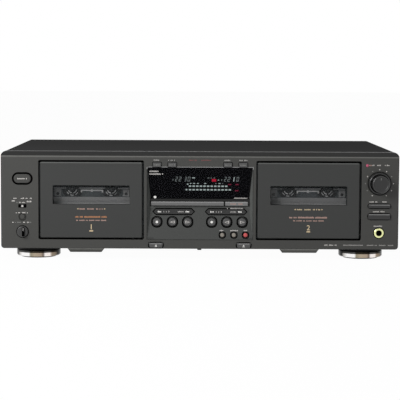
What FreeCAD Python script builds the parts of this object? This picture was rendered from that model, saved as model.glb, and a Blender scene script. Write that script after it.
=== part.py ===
import FreeCAD, Part
import math
import os
from FreeCAD import Vector

# A dual-well cassette deck. X runs to the right, Y to the back, Z up, in millimetres.
# The origin lies under the middle of the whole object, on the surface it stands on.

# Case
CASE_WIDTH = 430.0
CASE_DEPTH = 265.0
FOOT_HEIGHT = 12.0
KNOB_PROUD = 15.0
SOCKET_PROUD = 10.0
SHEET = 1.2
SEAT_GAP = 0.3
SLIDE_GAP = 0.4
SHAFT_GAP = 0.05

HALF_WIDTH = CASE_WIDTH / 2
FRONT = KNOB_PROUD - (CASE_DEPTH + KNOB_PROUD + SOCKET_PROUD) / 2
REAR = FRONT + CASE_DEPTH
CASE_BOTTOM = FOOT_HEIGHT

# Compact cassette, which sets the height of its well and so of the case
CASSETTE_WIDTH = 100.4
CASSETTE_HEIGHT = 63.8
CASSETTE_THICK = 8.7
CASSETTE_PLAY = 0.6
CASSETTE_LIFT = 28.5
REEL_SPACING = 42.5
REEL_ABOVE_EDGE = 35.0
CAPSTAN_SPACING = 46.0
CAPSTAN_ABOVE_EDGE = 2.1
CASSETTE_EDGE = CASE_BOTTOM + CASSETTE_LIFT
REEL_Z = CASSETTE_EDGE + REEL_ABOVE_EDGE
CAPSTAN_Z = CASSETTE_EDGE + CAPSTAN_ABOVE_EDGE

# Cassette doors and wells
HOLDER_WALL = 1.6
HOLDER_PLATE = 1.2
HOLDER_HALF = CASSETTE_WIDTH / 2 + CASSETTE_PLAY
DOOR_LAP_SIDE = 2.75
DOOR_LAP_TOP = 1.4
DOOR_SILL = 11.5
DOOR_GAP_SIDE = 1.8
DOOR_GAP_BOTTOM = 1.7
DOOR_GAP_TOP = 2.0
DOOR_RADIUS = 2.0
DOOR_THICK = 3.0
DOOR_CHAMFER = 0.8
DOOR_WIDTH = 2 * (HOLDER_HALF + HOLDER_WALL + DOOR_LAP_SIDE)
DOOR_BOTTOM = CASE_BOTTOM + DOOR_SILL
DOOR_TOP = CASSETTE_EDGE + CASSETTE_HEIGHT + DOOR_LAP_TOP
WINDOW_WIDTH = 83.0
WINDOW_HEIGHT = 20.5
WINDOW_ABOVE_REEL = 5.0
WINDOW_TOP = REEL_Z + WINDOW_ABOVE_REEL
WINDOW_BOTTOM = WINDOW_TOP - WINDOW_HEIGHT
WINDOW_RADIUS = 1.0
WINDOW_RECESS = 1.3
WINDOW_LAP = 2.0
WINDOW_FLANGE = 1.2
WINDOW_FIT = 0.2
HINGE_SETBACK = 5.0
HINGE_RISE = 4.0
HINGE_PIN_R = 1.2
HINGE_Y = FRONT + HINGE_SETBACK
HINGE_Z = DOOR_BOTTOM + HINGE_RISE

# Front panel: an upright strip at each end, and a post between each door and the console
PANEL_DEPTH = 12.0
PANEL_WALL = 3.0
PANEL_RIM = 2.5
PANEL_BOTTOM_RIM = 2.0
PANEL_TOP_RADIUS = 5.5
PANEL_BOTTOM_RADIUS = 4.0
PANEL_SIDE_ROUND = 2.0
PANEL_HEAD = 11.4
STRIP_WIDTH = 40.65
POST_WIDTH = 3.05
BEVEL_HEIGHT = 6.1
BEVEL_DEPTH = 6.0
CASE_TOP = DOOR_TOP + PANEL_HEAD
PANEL_BACK = FRONT + PANEL_DEPTH
PANEL_INSIDE = FRONT + PANEL_WALL
STRIP_EDGE = HALF_WIDTH - STRIP_WIDTH
WELL_X = STRIP_EDGE - DOOR_GAP_SIDE - DOOR_WIDTH / 2

# Mechanism
DECK_SETBACK = 17.0
DECK_PLATE = 1.5
DECK_MARGIN_BOTTOM = 1.5
DECK_MARGIN_TOP = 1.2
CAPSTAN_R = 1.1
BRIDGE_THICK = 1.6
BRIDGE_TRAVEL = 8.0
BRIDGE_DROP = 10.5
BRIDGE_HALF = 33.0
BRIDGE_GUIDE_R = 1.5
BRIDGE_GUIDE_INSET = 5.0
HEAD_HALF = 7.0
ROLLER_R = 5.0
FLYWHEEL_R = 20.0
FLYWHEEL_THICK = 6.0
FLYWHEEL_HUB_R = 5.0
REAR_BRACKET_GAP = 11.0
REAR_BRACKET_INSET = 5.85
REAR_BRACKET_MARGIN = 2.0
HINGE_BRACKET = 1.6
BRACKET_POST_R = 2.5
MOTOR_R = 15.5
MOTOR_LENGTH = 23.5
MOTOR_ABOVE_REEL = 8.5
PULLEY_R = 3.5
REEL_DISC_R = 11.0
REEL_HUB_R = 6.2
SPINDLE_R = 3.1
SPINDLE_PIN_R = 1.0
DECK_Y = FRONT + DECK_SETBACK
DECK_BOTTOM = DOOR_BOTTOM - DECK_MARGIN_BOTTOM
DECK_TOP = DOOR_TOP - DECK_MARGIN_TOP
BRIDGE_GUIDE_Z = CASSETTE_EDGE - BRIDGE_DROP
BRIDGE_GUIDE_X = BRIDGE_HALF - BRIDGE_GUIDE_INSET
MOTOR_Z = REEL_Z + MOTOR_ABOVE_REEL

# What shows through the windows: pads at the ends, a ribbed sill and the tie between the hubs
WELL_PLAY = 0.2
WELL_OVERLAP = 0.5
WELL_PAD_GAP = 0.75
WELL_PAD_WIDTH = 8.5
WELL_PAD_HEIGHT = 12.1
WELL_SILL_HEIGHT = 7.4
WELL_SILL_FOOT = 3.6
WELL_TRIM = 0.9
WELL_GROOVE = 0.7
WELL_GROOVE_DEPTH = 0.4
WELL_GROOVES = 3
TIE_HALF = 12.0
TIE_HEIGHT = 1.5
TIE_HOOK = 1.3
TIE_ABOVE_REEL = 2.2
TIE_BLOCK_GAP = 1.45
WELL_FRONT = FRONT + DOOR_THICK + HOLDER_PLATE + CASSETTE_THICK + CASSETTE_PLAY + WELL_PLAY

# Centre console: a V-shaped trough, deepest along the bar keys
CONSOLE_HALF = WELL_X - DOOR_WIDTH / 2 - DOOR_GAP_SIDE - POST_WIDTH
CONSOLE_BOTTOM = DOOR_BOTTOM - DOOR_GAP_BOTTOM
CONSOLE_TOP_MARGIN = 15.9
CONSOLE_TOP = CASE_TOP - CONSOLE_TOP_MARGIN
CONSOLE_FIT = 0.3
CONSOLE_LIP = 0.6
CONSOLE_SHELL = 2.4
CONSOLE_SIDE_WALL = 4.0
CONSOLE_EDGE_WALL = 1.6
CONSOLE_DEPTH = 16.0
VALLEY_INSET = 3.9
VALLEY_DEPTH = 5.5
VALLEY_RISE = 34.2
VALLEY_HEIGHT = 9.9
VALLEY_HALF = CONSOLE_HALF - VALLEY_INSET
VALLEY_BOTTOM = CONSOLE_BOTTOM + VALLEY_RISE
VALLEY_TOP = VALLEY_BOTTOM + VALLEY_HEIGHT
GLASS_THICK = 1.8
GLASS_FIT = 0.2
DISPLAY_INSET = 11.4
DISPLAY_MARGIN = 4.0
TUBE_INSET = 2.0
TUBE_MARGIN = 1.0
TUBE_DEPTH = 6.0
CONSOLE_BACK = FRONT + CONSOLE_DEPTH
BOARD_THICK = 1.6
BOARD_MARGIN = 1.0

# Keys of the centre console: name, and centre X as a share of the console's half width
TRANSPORT_RISE = 19.2
TRANSPORT_R = 4.3
TRANSPORT_RECESS_R = 5.6
TRANSPORT_RECESS = 1.0
TRANSPORT_Z = CONSOLE_BOTTOM + TRANSPORT_RISE
TRANSPORT_KEYS = tuple((name, share * CONSOLE_HALF) for name, share in (
    ("left_stop_button", -0.811),
    ("left_reverse_button", -0.518),
    ("left_play_button", -0.231),
    ("right_stop_button", 0.223),
    ("right_reverse_button", 0.507),
    ("right_play_button", 0.799),
))
SMALL_KEY_RISE = 5.4
SMALL_KEY_R = 2.25
SMALL_KEY_RECESS_R = 3.25
SMALL_KEY_RECESS = 0.8
SMALL_KEY_INSET = 8.0
SMALL_KEY_PITCH = 12.55
SMALL_KEY_Z = CONSOLE_BOTTOM + SMALL_KEY_RISE
SMALL_KEYS = tuple(
    (name, CONSOLE_HALF - SMALL_KEY_INSET - SMALL_KEY_PITCH * place)
    for place, name in enumerate(("record_button", "record_mute_button", "pause_button"))
)
ROCKER_BELOW_VALLEY = 3.9
ROCKER_HEIGHT = 5.4
ROCKER_INSET = 3.3
ROCKER_INNER = 6.6
ROCKER_MARGIN = 0.6
ROCKER_LENGTH = VALLEY_HALF - ROCKER_INSET - ROCKER_INNER
ROCKER_Z = VALLEY_BOTTOM - ROCKER_BELOW_VALLEY
ROCKERS = (
    ("left_search_rocker", -ROCKER_INNER - ROCKER_LENGTH / 2),
    ("right_search_rocker", ROCKER_INNER + ROCKER_LENGTH / 2),
)
BAR_RISE = 4.8
BAR_HEIGHT = 4.4
BAR_PROUD = 2.4
BAR_INSET = 0.7
SPEED_BAR_INSET = 1.5
SPEED_BAR_LENGTH = 24.6
BAR_PARTING = 1.4
BAR_Z = VALLEY_BOTTOM + BAR_RISE
SPEED_BAR_X = (VALLEY_HALF - SPEED_BAR_INSET - SPEED_BAR_LENGTH, VALLEY_HALF - SPEED_BAR_INSET)
DUBBING_BAR_X = (BAR_INSET - VALLEY_HALF, SPEED_BAR_X[0] - BAR_PARTING)
KEY_PROUD = 1.0
KEY_TRAVEL = 1.2
KEY_SWITCH = 4.0
KEY_COLLAR = 0.7
KEY_COLLAR_THICK = 0.8
KEY_EDGE = 0.4

# Four small keys across the top edge of the console
TOP_KEY_RISE = 1.9
TOP_KEY_WIDTH = 9.0
TOP_KEY_HEIGHT = 5.0
TOP_KEY_PROUD = 1.2
TOP_KEY_INSET = 10.9
TOP_KEY_PITCH = 16.5
TOP_KEY_Z = CONSOLE_TOP + TOP_KEY_RISE
TOP_KEYS = (
    ("counter_reset_button", TOP_KEY_INSET - CONSOLE_HALF),
    ("display_mode_button", TOP_KEY_INSET + TOP_KEY_PITCH - CONSOLE_HALF),
    ("counter_memory_button", CONSOLE_HALF - TOP_KEY_INSET - TOP_KEY_PITCH),
    ("auto_space_button", CONSOLE_HALF - TOP_KEY_INSET),
)

# Eject keys under the doors
EJECT_INSET = 9.9
EJECT_RISE = 1.4
EJECT_HEIGHT = 5.2
EJECT_WIDTH = 15.6
EJECT_TAPER = 1.2
EJECT_PROUD = 1.6
EJECT_X = CONSOLE_HALF - EJECT_INSET
EJECT_BOTTOM = CASE_BOTTOM + EJECT_RISE
EJECT_TOP = EJECT_BOTTOM + EJECT_HEIGHT

# Left control strip
LEFT_INSET = 23.4
LEFT_X = LEFT_INSET - HALF_WIDTH
POWER_DROP = 29.5
POWER_Z = CASE_TOP - POWER_DROP
POWER_WIDTH = 18.5
POWER_HEIGHT = 9.6
POWER_PROUD = 1.0
POWER_RECESS_MARGIN = 2.0
POWER_RECESS_DEPTH = 1.2
TIMER_RISE = 46.0
TIMER_Z = CASE_BOTTOM + TIMER_RISE
TIMER_SLOT_WIDTH = 8.8
TIMER_SLOT_HEIGHT = 3.9
TIMER_LEVER_WIDTH = 3.0
PITCH_KEY_RISE = 34.3
PITCH_KEY_Z = CASE_BOTTOM + PITCH_KEY_RISE
PITCH_KEY_R = 2.75
PITCH_KNOB_RISE = 18.1
PITCH_KNOB_Z = CASE_BOTTOM + PITCH_KNOB_RISE
PITCH_KNOB_R = 5.95
PITCH_KNOB_PROUD = 4.0
KNOB_SHAFT_R = 3.0

# Right control strip
LEVEL_INSET = 21.4
LEVEL_DROP = 33.3
LEVEL_X = HALF_WIDTH - LEVEL_INSET
LEVEL_Z = CASE_TOP - LEVEL_DROP
LEVEL_SKIRT_R = 12.2
LEVEL_FACE_R = 8.9
LEVEL_FLUTES = 24
LEVEL_FLUTE_R = 0.5
LAMP_INSET = 34.6
LAMP_DROP = 13.9
LAMP_X = HALF_WIDTH - LAMP_INSET
LAMP_Z = CASE_TOP - LAMP_DROP
LAMP_R = 1.5
LAMP_DEPTH = 6.0
RIGHT_BAR_PROUD = 1.8
UPPER_BAR_RISE = 47.3
UPPER_BAR_WIDTH = 23.8
UPPER_BAR_HEIGHT = 4.2
LOWER_BAR_RISE = 35.9
LOWER_BAR_WIDTH = 24.0
LOWER_BAR_HEIGHT = 6.0
BAR_KEY_INSET = 21.2
RIGHT_BARS = (
    ("noise_reduction_button", HALF_WIDTH - BAR_KEY_INSET, CASE_BOTTOM + UPPER_BAR_RISE, UPPER_BAR_WIDTH,
     UPPER_BAR_HEIGHT),
    ("relay_play_button", HALF_WIDTH - BAR_KEY_INSET, CASE_BOTTOM + LOWER_BAR_RISE, LOWER_BAR_WIDTH,
     LOWER_BAR_HEIGHT),
)
PHONES_INSET = 21.3
PHONES_RISE = 18.0
PHONES_X = HALF_WIDTH - PHONES_INSET
PHONES_Z = CASE_BOTTOM + PHONES_RISE
PHONES_BORE_R = 3.25
PHONES_RING_R = 5.3
PHONES_RING_PROUD = 0.8
PHONES_SLEEVE_R = 4.6
PHONES_BODY_HALF = 7.0
PHONES_LENGTH = 30.0

# Boards behind the two strips, carried on bosses of the panel
SIDE_BOARD_SETBACK = 14.0
SIDE_BOARD_CLEAR = 3.25
SIDE_BOARD_EDGE = STRIP_EDGE + SIDE_BOARD_CLEAR
LEFT_BOARD_OUTER = HALF_WIDTH - 6.4
RIGHT_BOARD_OUTER = HALF_WIDTH - 4.4
SIDE_BOARD_BOSS_R = 3.0
POWER_SWITCH = 2.0
STRIP_SWITCH = 4.0
BAR_SWITCH = 3.0
PITCH_DIAL = 5.0
LEVEL_DIAL = 6.0

# Underside
FOOT_INSET = 37.5
FOOT_X = HALF_WIDTH - FOOT_INSET
FOOT_SETBACK = 34.0
FOOT_REAR_MARGIN = 40.0
FOOT_FRONT_Y = FRONT + FOOT_SETBACK
FOOT_REAR_Y = REAR - FOOT_REAR_MARGIN
FOOT_R = 23.0
FOOT_CORE_R = 20.0
FOOT_RING_R = 24.0
FOOT_BAND = 4.0
RING_LIFT = 1.5
PRESSED_RIB_DEPTH = 4.8
LEFT_RIB_INSET = 91.0
LEFT_RIB_WIDTH = 42.0
RIGHT_RIB_INSET = 106.5
RIGHT_RIB_WIDTH = 45.0
PRESSED_RIBS = (
    (LEFT_RIB_INSET - HALF_WIDTH, LEFT_RIB_WIDTH),
    (HALF_WIDTH - RIGHT_RIB_INSET, RIGHT_RIB_WIDTH),
)
PRESSED_RIB_LENGTH = 60.0
PRESSED_RIB_TAPER = 3.6
PRESSED_RIB_SETBACK = 1.5
FLANGE_HEIGHT = 26.0
FRONT_FLANGE_HEIGHT = 6.0
COVER_INSET = 1.0
COVER_LIFT = 2.0
COVER_GAP = 0.4
SLOT_LENGTH = 28.0
SLOT_WIDTH = 3.0
SLOT_PITCH = 11.0
SLOT_COUNT = 12
SLOT_REAR = 85.0
SLOT_ROW_PITCH = 40.0
SLOT_ROWS = (REAR - SLOT_REAR - SLOT_ROW_PITCH, REAR - SLOT_REAR)

# Rear and inside
SOCKET_INSET = 65.0
SOCKET_RISE = 35.0
SOCKET_X = HALF_WIDTH - SOCKET_INSET
SOCKET_Z = CASE_BOTTOM + SOCKET_RISE
SOCKET_R = 4.15
SOCKET_BORE_R = 1.7
SOCKET_PITCH_X = 18.0
SOCKET_PITCH_Z = 16.0
SOCKET_FLANGE = 1.5
SOCKET_BODY_DEPTH = 12.0
GLAND_INSET = 50.0
GLAND_RISE = 22.0
GLAND_X = GLAND_INSET - HALF_WIDTH
GLAND_Z = CASE_BOTTOM + GLAND_RISE
GLAND_BORE_R = 3.3
GLAND_R = 6.0
GLAND_FLANGE = 2.5
VENT_LENGTH = 8.0
VENT_HEIGHT = 3.0
VENT_PITCH = 12.0
VENT_COUNT = 14
VENT_TOP_DROP = 23.1
BOARD_LIFT = 9.0
BOARD_BOSS_R = 3.5
BOARD_BOSS_INSET = 6.0
MAIN_BOARD_LEFT = -40.0
MAIN_BOARD_SIDE = 30.0
MAIN_BOARD_SETBACK = 90.0
MAIN_BOARD_REAR = 20.0
MAIN_BOARD = (
    MAIN_BOARD_LEFT, HALF_WIDTH - MAIN_BOARD_SIDE,
    FRONT + MAIN_BOARD_SETBACK, REAR - MAIN_BOARD_REAR,
)
CAPACITOR_R = 8.0
CAPACITOR_HEIGHT = 26.0
CAPACITOR_PITCH = 20.0
CHIP_PITCH = 36.0
CHIP_LENGTH = 18.0
CHIP_WIDTH = 10.0
CHIP_HEIGHT = 4.0
COOLER_LENGTH = 31.5
COOLER_DEPTH = 22.0
COOLER_HEIGHT = 30.0
COOLER_FIN = 1.5
COOLER_FINS = 7
TRANSFORMER_SIDE = 65.0
TRANSFORMER_REAR = 73.0
TRANSFORMER = (TRANSFORMER_SIDE - HALF_WIDTH, REAR - TRANSFORMER_REAR)
CORE_WIDTH = 56.0
CORE_DEPTH = 24.0
CORE_HEIGHT = 48.0
WINDING_WIDTH = 36.0
WINDING_DEPTH = 44.0
WINDING_MARGIN = 9.0
MOUNT_LENGTH = 76.0
MOUNT_WIDTH = 14.0
MOUNT_THICK = 1.5


# Basic forms

def block(x0, x1, y0, y1, z0, z1):
    return Part.makeBox(x1 - x0, y1 - y0, z1 - z0, Vector(x0, y0, z0))


def rod_y(x, z, radius, y0, y1):
    return Part.makeCylinder(radius, y1 - y0, Vector(x, y0, z), Vector(0, 1, 0))


def rod_x(y, z, radius, x0, x1):
    return Part.makeCylinder(radius, x1 - x0, Vector(x0, y, z), Vector(1, 0, 0))


def rod_z(x, y, radius, z0, z1):
    return Part.makeCylinder(radius, z1 - z0, Vector(x, y, z0), Vector(0, 0, 1))


def rounded_face(corners, place):
    """A flat face through corners (u, v, radius), each corner rounded by its own arc."""
    count = len(corners)
    stations = []
    for index in range(count):
        u, v, radius = corners[index]
        here = place(u, v)
        if radius <= 0:
            stations.append((here, None, here))
            continue
        before = place(*corners[index - 1][:2])
        after = place(*corners[(index + 1) % count][:2])
        back = (before - here).normalize()
        ahead = (after - here).normalize()
        half = back.getAngle(ahead) / 2
        reach = radius / math.tan(half)
        bisector = (back + ahead).normalize()
        middle = here + bisector * (radius / math.sin(half) - radius)
        stations.append((here + back * reach, middle, here + ahead * reach))
    edges = []
    for index in range(count):
        start, middle, end = stations[index]
        if middle is not None:
            edges.append(Part.Arc(start, middle, end).toShape())
        following = stations[(index + 1) % count][0]
        if end.distanceToPoint(following) > 1e-6:
            edges.append(Part.LineSegment(end, following).toShape())
    return Part.Face(Part.Wire(edges))


def prism_x(corners, x0, x1):
    """Corners (y, z, radius) carried along X."""
    return rounded_face(corners, lambda y, z: Vector(x0, y, z)).extrude(Vector(x1 - x0, 0, 0))


def prism_y(corners, y0, y1):
    """Corners (x, z, radius) carried along Y."""
    return rounded_face(corners, lambda x, z: Vector(x, y0, z)).extrude(Vector(0, y1 - y0, 0))


def prism_z(corners, z0, z1):
    """Corners (x, y, radius) carried along Z."""
    return rounded_face(corners, lambda x, y: Vector(x, y, z0)).extrude(Vector(0, 0, z1 - z0))


def rounded_plate(x0, x1, z0, z1, radius, y0, y1):
    corners = [(x0, z0, radius), (x1, z0, radius), (x1, z1, radius), (x0, z1, radius)]
    return prism_y(corners, y0, y1)


def stadium(x, z, width, height, y0, y1):
    radius = height / 2 - 0.001
    return rounded_plate(x - width / 2, x + width / 2, z - height / 2, z + height / 2, radius, y0, y1)


def turned_y(x, z, profile):
    """A profile of (radius, y) points turned about an axis along Y."""
    points = [Vector(x + radius, y, z) for radius, y in profile]
    face = Part.Face(Part.makePolygon(points + [points[0]]))
    return face.revolve(Vector(x, 0, z), Vector(0, 1, 0), 360)


def turned_z(x, y, corners):
    """Corners (radius, z, rounding) turned about an axis along Z."""
    face = rounded_face(corners, lambda radius, z: Vector(x + radius, y, z))
    return face.revolve(Vector(x, y, 0), Vector(0, 0, 1), 360)


def join(shapes):
    first = shapes[0]
    return first.fuse(shapes[1:]).removeSplitter()


def save(name, shape):
    shape.exportStep("parts/" + name + ".step")


# Shared places

def well_centres():
    return (("left", -WELL_X), ("right", WELL_X))


def door_opening(centre, y0, y1):
    half = DOOR_WIDTH / 2 + DOOR_GAP_SIDE
    low = DOOR_BOTTOM - DOOR_GAP_BOTTOM
    high = DOOR_TOP + DOOR_GAP_TOP
    return rounded_plate(centre - half, centre + half, low, high, DOOR_RADIUS, y0, y1)


def rocker_outline(x, margin):
    half = ROCKER_LENGTH / 2 + margin
    rise = ROCKER_HEIGHT / 2 + margin
    point = rise
    return [
        (x - half, ROCKER_Z, 0.5),
        (x - half + point, ROCKER_Z - rise, 0.8),
        (x + half - point, ROCKER_Z - rise, 0.8),
        (x + half, ROCKER_Z, 0.5),
        (x + half - point, ROCKER_Z + rise, 0.8),
        (x - half + point, ROCKER_Z + rise, 0.8),
    ]


def eject_outline(x, margin):
    """A key a little wider at its top than at its bottom."""
    half = EJECT_WIDTH / 2 + margin
    taper = EJECT_TAPER
    return [
        (x - half + taper, EJECT_BOTTOM - margin, 0.6),
        (x + half - taper, EJECT_BOTTOM - margin, 0.6),
        (x + half, EJECT_TOP + margin, 0.6),
        (x - half, EJECT_TOP + margin, 0.6),
    ]


def control_plane(z):
    """Y of the console's lower face, which leans back from its bottom edge to the valley."""
    low = CONSOLE_BOTTOM + CONSOLE_FIT + CONSOLE_LIP
    share = (z - low) / (VALLEY_BOTTOM - low)
    return FRONT + VALLEY_DEPTH * share


def trough_sides(margin, z0, z1):
    """The wedge between the console's slanted side walls."""
    mouth = CONSOLE_HALF - CONSOLE_FIT - margin
    floor = VALLEY_HALF - margin
    slope = (mouth - floor) / VALLEY_DEPTH
    depth = VALLEY_DEPTH + 3.0
    inner = mouth - slope * depth
    outer = mouth + slope
    corners = [
        (-outer, FRONT - 1.0, 0),
        (outer, FRONT - 1.0, 0),
        (inner, FRONT + depth, 0),
        (-inner, FRONT + depth, 0),
    ]
    return prism_z(corners, z0, z1)


# Front panel and console

def front_panel():
    outline = [
        (-HALF_WIDTH, CASE_BOTTOM, PANEL_BOTTOM_RADIUS),
        (HALF_WIDTH, CASE_BOTTOM, PANEL_BOTTOM_RADIUS),
        (HALF_WIDTH, CASE_TOP, PANEL_TOP_RADIUS),
        (-HALF_WIDTH, CASE_TOP, PANEL_TOP_RADIUS),
    ]
    section = [
        (PANEL_BACK, CASE_BOTTOM, 0),
        (PANEL_BACK, CASE_TOP, 0),
        (FRONT + BEVEL_DEPTH, CASE_TOP, 2.5),
        (FRONT, CASE_TOP - BEVEL_HEIGHT, 1.5),
        (FRONT, CASE_BOTTOM, 1.0),
    ]
    plan = [
        (-HALF_WIDTH, PANEL_BACK, 0),
        (-HALF_WIDTH, FRONT, PANEL_SIDE_ROUND),
        (HALF_WIDTH, FRONT, PANEL_SIDE_ROUND),
        (HALF_WIDTH, PANEL_BACK, 0),
    ]
    body = prism_y(outline, FRONT, PANEL_BACK)
    body = body.common(prism_x(section, -HALF_WIDTH, HALF_WIDTH))
    body = body.common(prism_z(plan, CASE_BOTTOM, CASE_TOP))

    inside_top = CASE_TOP - PANEL_RIM
    inside_bevel = CASE_TOP - BEVEL_HEIGHT - 1.0
    hollow = [
        (PANEL_INSIDE, CASE_BOTTOM + PANEL_BOTTOM_RIM, 0),
        (PANEL_INSIDE, inside_bevel, 0),
        (PANEL_INSIDE + inside_top - inside_bevel, inside_top, 0),
        (PANEL_BACK + 1.0, inside_top, 0),
        (PANEL_BACK + 1.0, CASE_BOTTOM + PANEL_BOTTOM_RIM, 0),
    ]
    inner = HALF_WIDTH - PANEL_RIM
    cuts = [prism_x(hollow, -inner, inner)]
    y0 = FRONT - 1.0
    y1 = PANEL_BACK + 1.0
    for side, centre in well_centres():
        cuts.append(door_opening(centre, y0, y1))
    cuts.append(block(-CONSOLE_HALF, CONSOLE_HALF, y0, y1, CONSOLE_BOTTOM, CONSOLE_TOP))
    cuts += top_key_holes()
    for x in (-EJECT_X, EJECT_X):
        cuts.append(prism_y(eject_outline(x, SLIDE_GAP), y0, y1))
    cuts += left_strip_cuts(y0, y1)
    cuts += right_strip_cuts(y0, y1)
    bosses = [
        rod_y(x, z, SIDE_BOARD_BOSS_R, PANEL_INSIDE, side_board_y())
        for x, z in side_board_bosses()
    ]
    save("front_panel", join([body.cut(cuts)] + bosses))


def top_key_holes():
    half = TOP_KEY_WIDTH / 2 + SLIDE_GAP
    rise = TOP_KEY_HEIGHT / 2 + SLIDE_GAP
    return [
        rounded_plate(x - half, x + half, TOP_KEY_Z - rise, TOP_KEY_Z + rise, 0.6, FRONT - 1.0, PANEL_BACK)
        for name, x in TOP_KEYS
    ]


def left_strip_cuts(y0, y1):
    wide = POWER_WIDTH + 2 * POWER_RECESS_MARGIN
    tall = POWER_HEIGHT + 2 * POWER_RECESS_MARGIN
    slot_x = TIMER_SLOT_WIDTH / 2
    slot_z = TIMER_SLOT_HEIGHT / 2
    return [
        stadium(LEFT_X, POWER_Z, wide, tall, y0, FRONT + POWER_RECESS_DEPTH),
        stadium(LEFT_X, POWER_Z, POWER_WIDTH + 2 * SLIDE_GAP, POWER_HEIGHT + 2 * SLIDE_GAP, y0, y1),
        rounded_plate(LEFT_X - slot_x, LEFT_X + slot_x, TIMER_Z - slot_z, TIMER_Z + slot_z, 0.5, y0, y1),
        rod_y(LEFT_X, PITCH_KEY_Z, PITCH_KEY_R + SLIDE_GAP, y0, y1),
        rod_y(LEFT_X, PITCH_KNOB_Z, KNOB_SHAFT_R + SLIDE_GAP, y0, y1),
    ]


def right_strip_cuts(y0, y1):
    cuts = [
        rod_y(LEVEL_X, LEVEL_Z, KNOB_SHAFT_R + SLIDE_GAP, y0, y1),
        rod_y(LAMP_X, LAMP_Z, LAMP_R + WINDOW_FIT, y0, y1),
        rod_y(PHONES_X, PHONES_Z, PHONES_SLEEVE_R + WINDOW_FIT, y0, y1),
    ]
    for name, x, z, width, height in RIGHT_BARS:
        half = width / 2 + SLIDE_GAP
        rise = height / 2 + SLIDE_GAP
        cuts.append(rounded_plate(x - half, x + half, z - rise, z + rise, 1.2, y0, y1))
    return cuts


def centre_console():
    half = CONSOLE_HALF - CONSOLE_FIT
    low = CONSOLE_BOTTOM + CONSOLE_FIT
    high = CONSOLE_TOP - CONSOLE_FIT
    bed = GLASS_THICK + GLASS_FIT
    deep = FRONT + VALLEY_DEPTH
    body = block(-half, half, FRONT, CONSOLE_BACK, low, high)
    trough = [
        (FRONT - 1.0, high - CONSOLE_LIP, 0),
        (FRONT + bed, high - CONSOLE_LIP, 0),
        (deep + bed, VALLEY_TOP, 0),
        (deep, VALLEY_TOP, 0),
        (deep, VALLEY_BOTTOM, 1.5),
        (FRONT, low + CONSOLE_LIP, 0),
        (FRONT - 1.0, low + CONSOLE_LIP, 0),
    ]
    trough = prism_x(trough, -half, half).common(trough_sides(0.0, low, high))
    shell = CONSOLE_SHELL
    hollow = [
        (FRONT + bed + shell, high - CONSOLE_EDGE_WALL, 0),
        (deep + bed + shell, VALLEY_TOP, 0),
        (deep + bed + shell, VALLEY_BOTTOM, 0),
        (deep + shell, VALLEY_BOTTOM, 0),
        (control_plane(low + CONSOLE_EDGE_WALL) + shell, low + CONSOLE_EDGE_WALL, 0),
        (CONSOLE_BACK + 1.0, low + CONSOLE_EDGE_WALL, 0),
        (CONSOLE_BACK + 1.0, high - CONSOLE_EDGE_WALL, 0),
    ]
    inner = half - CONSOLE_SIDE_WALL
    cuts = [trough, prism_x(hollow, -inner, inner)]
    y0 = FRONT - 1.0
    y1 = CONSOLE_BACK + 1.0
    opening = CONSOLE_HALF - DISPLAY_INSET
    sill = VALLEY_TOP + DISPLAY_MARGIN
    cuts.append(rounded_plate(-opening, opening, sill, high - DISPLAY_MARGIN, 1.0, y0, y1))
    cuts += top_key_holes()
    cuts += console_key_cuts(y0, y1)
    save("centre_console", body.cut(cuts))


def console_key_cuts(y0, y1):
    cuts = []
    floor = control_plane(TRANSPORT_Z) + TRANSPORT_RECESS
    for name, x in TRANSPORT_KEYS:
        cuts.append(rod_y(x, TRANSPORT_Z, TRANSPORT_R + SLIDE_GAP, y0, y1))
        cuts.append(rod_y(x, TRANSPORT_Z, TRANSPORT_RECESS_R, y0, floor))
    floor = control_plane(SMALL_KEY_Z) + SMALL_KEY_RECESS
    for name, x in SMALL_KEYS:
        cuts.append(rod_y(x, SMALL_KEY_Z, SMALL_KEY_R + SLIDE_GAP, y0, y1))
        cuts.append(rod_y(x, SMALL_KEY_Z, SMALL_KEY_RECESS_R, y0, floor))
    for name, x in ROCKERS:
        cuts.append(prism_y(rocker_outline(x, ROCKER_MARGIN), y0, y1))
    rise = BAR_HEIGHT / 2 + SLIDE_GAP
    left = DUBBING_BAR_X[0] - SLIDE_GAP
    right = SPEED_BAR_X[1] + SLIDE_GAP
    cuts.append(rounded_plate(left, right, BAR_Z - rise, BAR_Z + rise, 0.6, y0, y1))
    return cuts


def display_window():
    high = CONSOLE_TOP - CONSOLE_FIT - CONSOLE_LIP - GLASS_FIT
    low = VALLEY_TOP + GLASS_FIT
    top_y = FRONT
    low_y = FRONT + VALLEY_DEPTH
    section = [
        (top_y, high, 0),
        (top_y + GLASS_THICK, high, 0),
        (low_y + GLASS_THICK, low, 0),
        (low_y, low, 0),
    ]
    glass = prism_x(section, -CONSOLE_HALF, CONSOLE_HALF).common(trough_sides(GLASS_FIT, low, high))
    save("display_window", glass)


# Control boards: one behind the console and one behind each end of the panel

def side_board_y():
    return FRONT + SIDE_BOARD_SETBACK


def side_board_bosses():
    inner = SIDE_BOARD_EDGE + 2.0
    left = 5.0 - LEFT_BOARD_OUTER
    right = RIGHT_BOARD_OUTER
    low = CASE_BOTTOM + 10.0
    middle = CASE_BOTTOM + 60.0
    return (
        (left, middle), (-inner, middle), (left, low), (-inner, low),
        (inner + 4.0, LEVEL_Z + 13.2), (right - 5.0, LEVEL_Z - 15.8), (inner, LEVEL_Z - 15.8),
        (right - 3.0, PHONES_Z + 10.0),
    )


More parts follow.
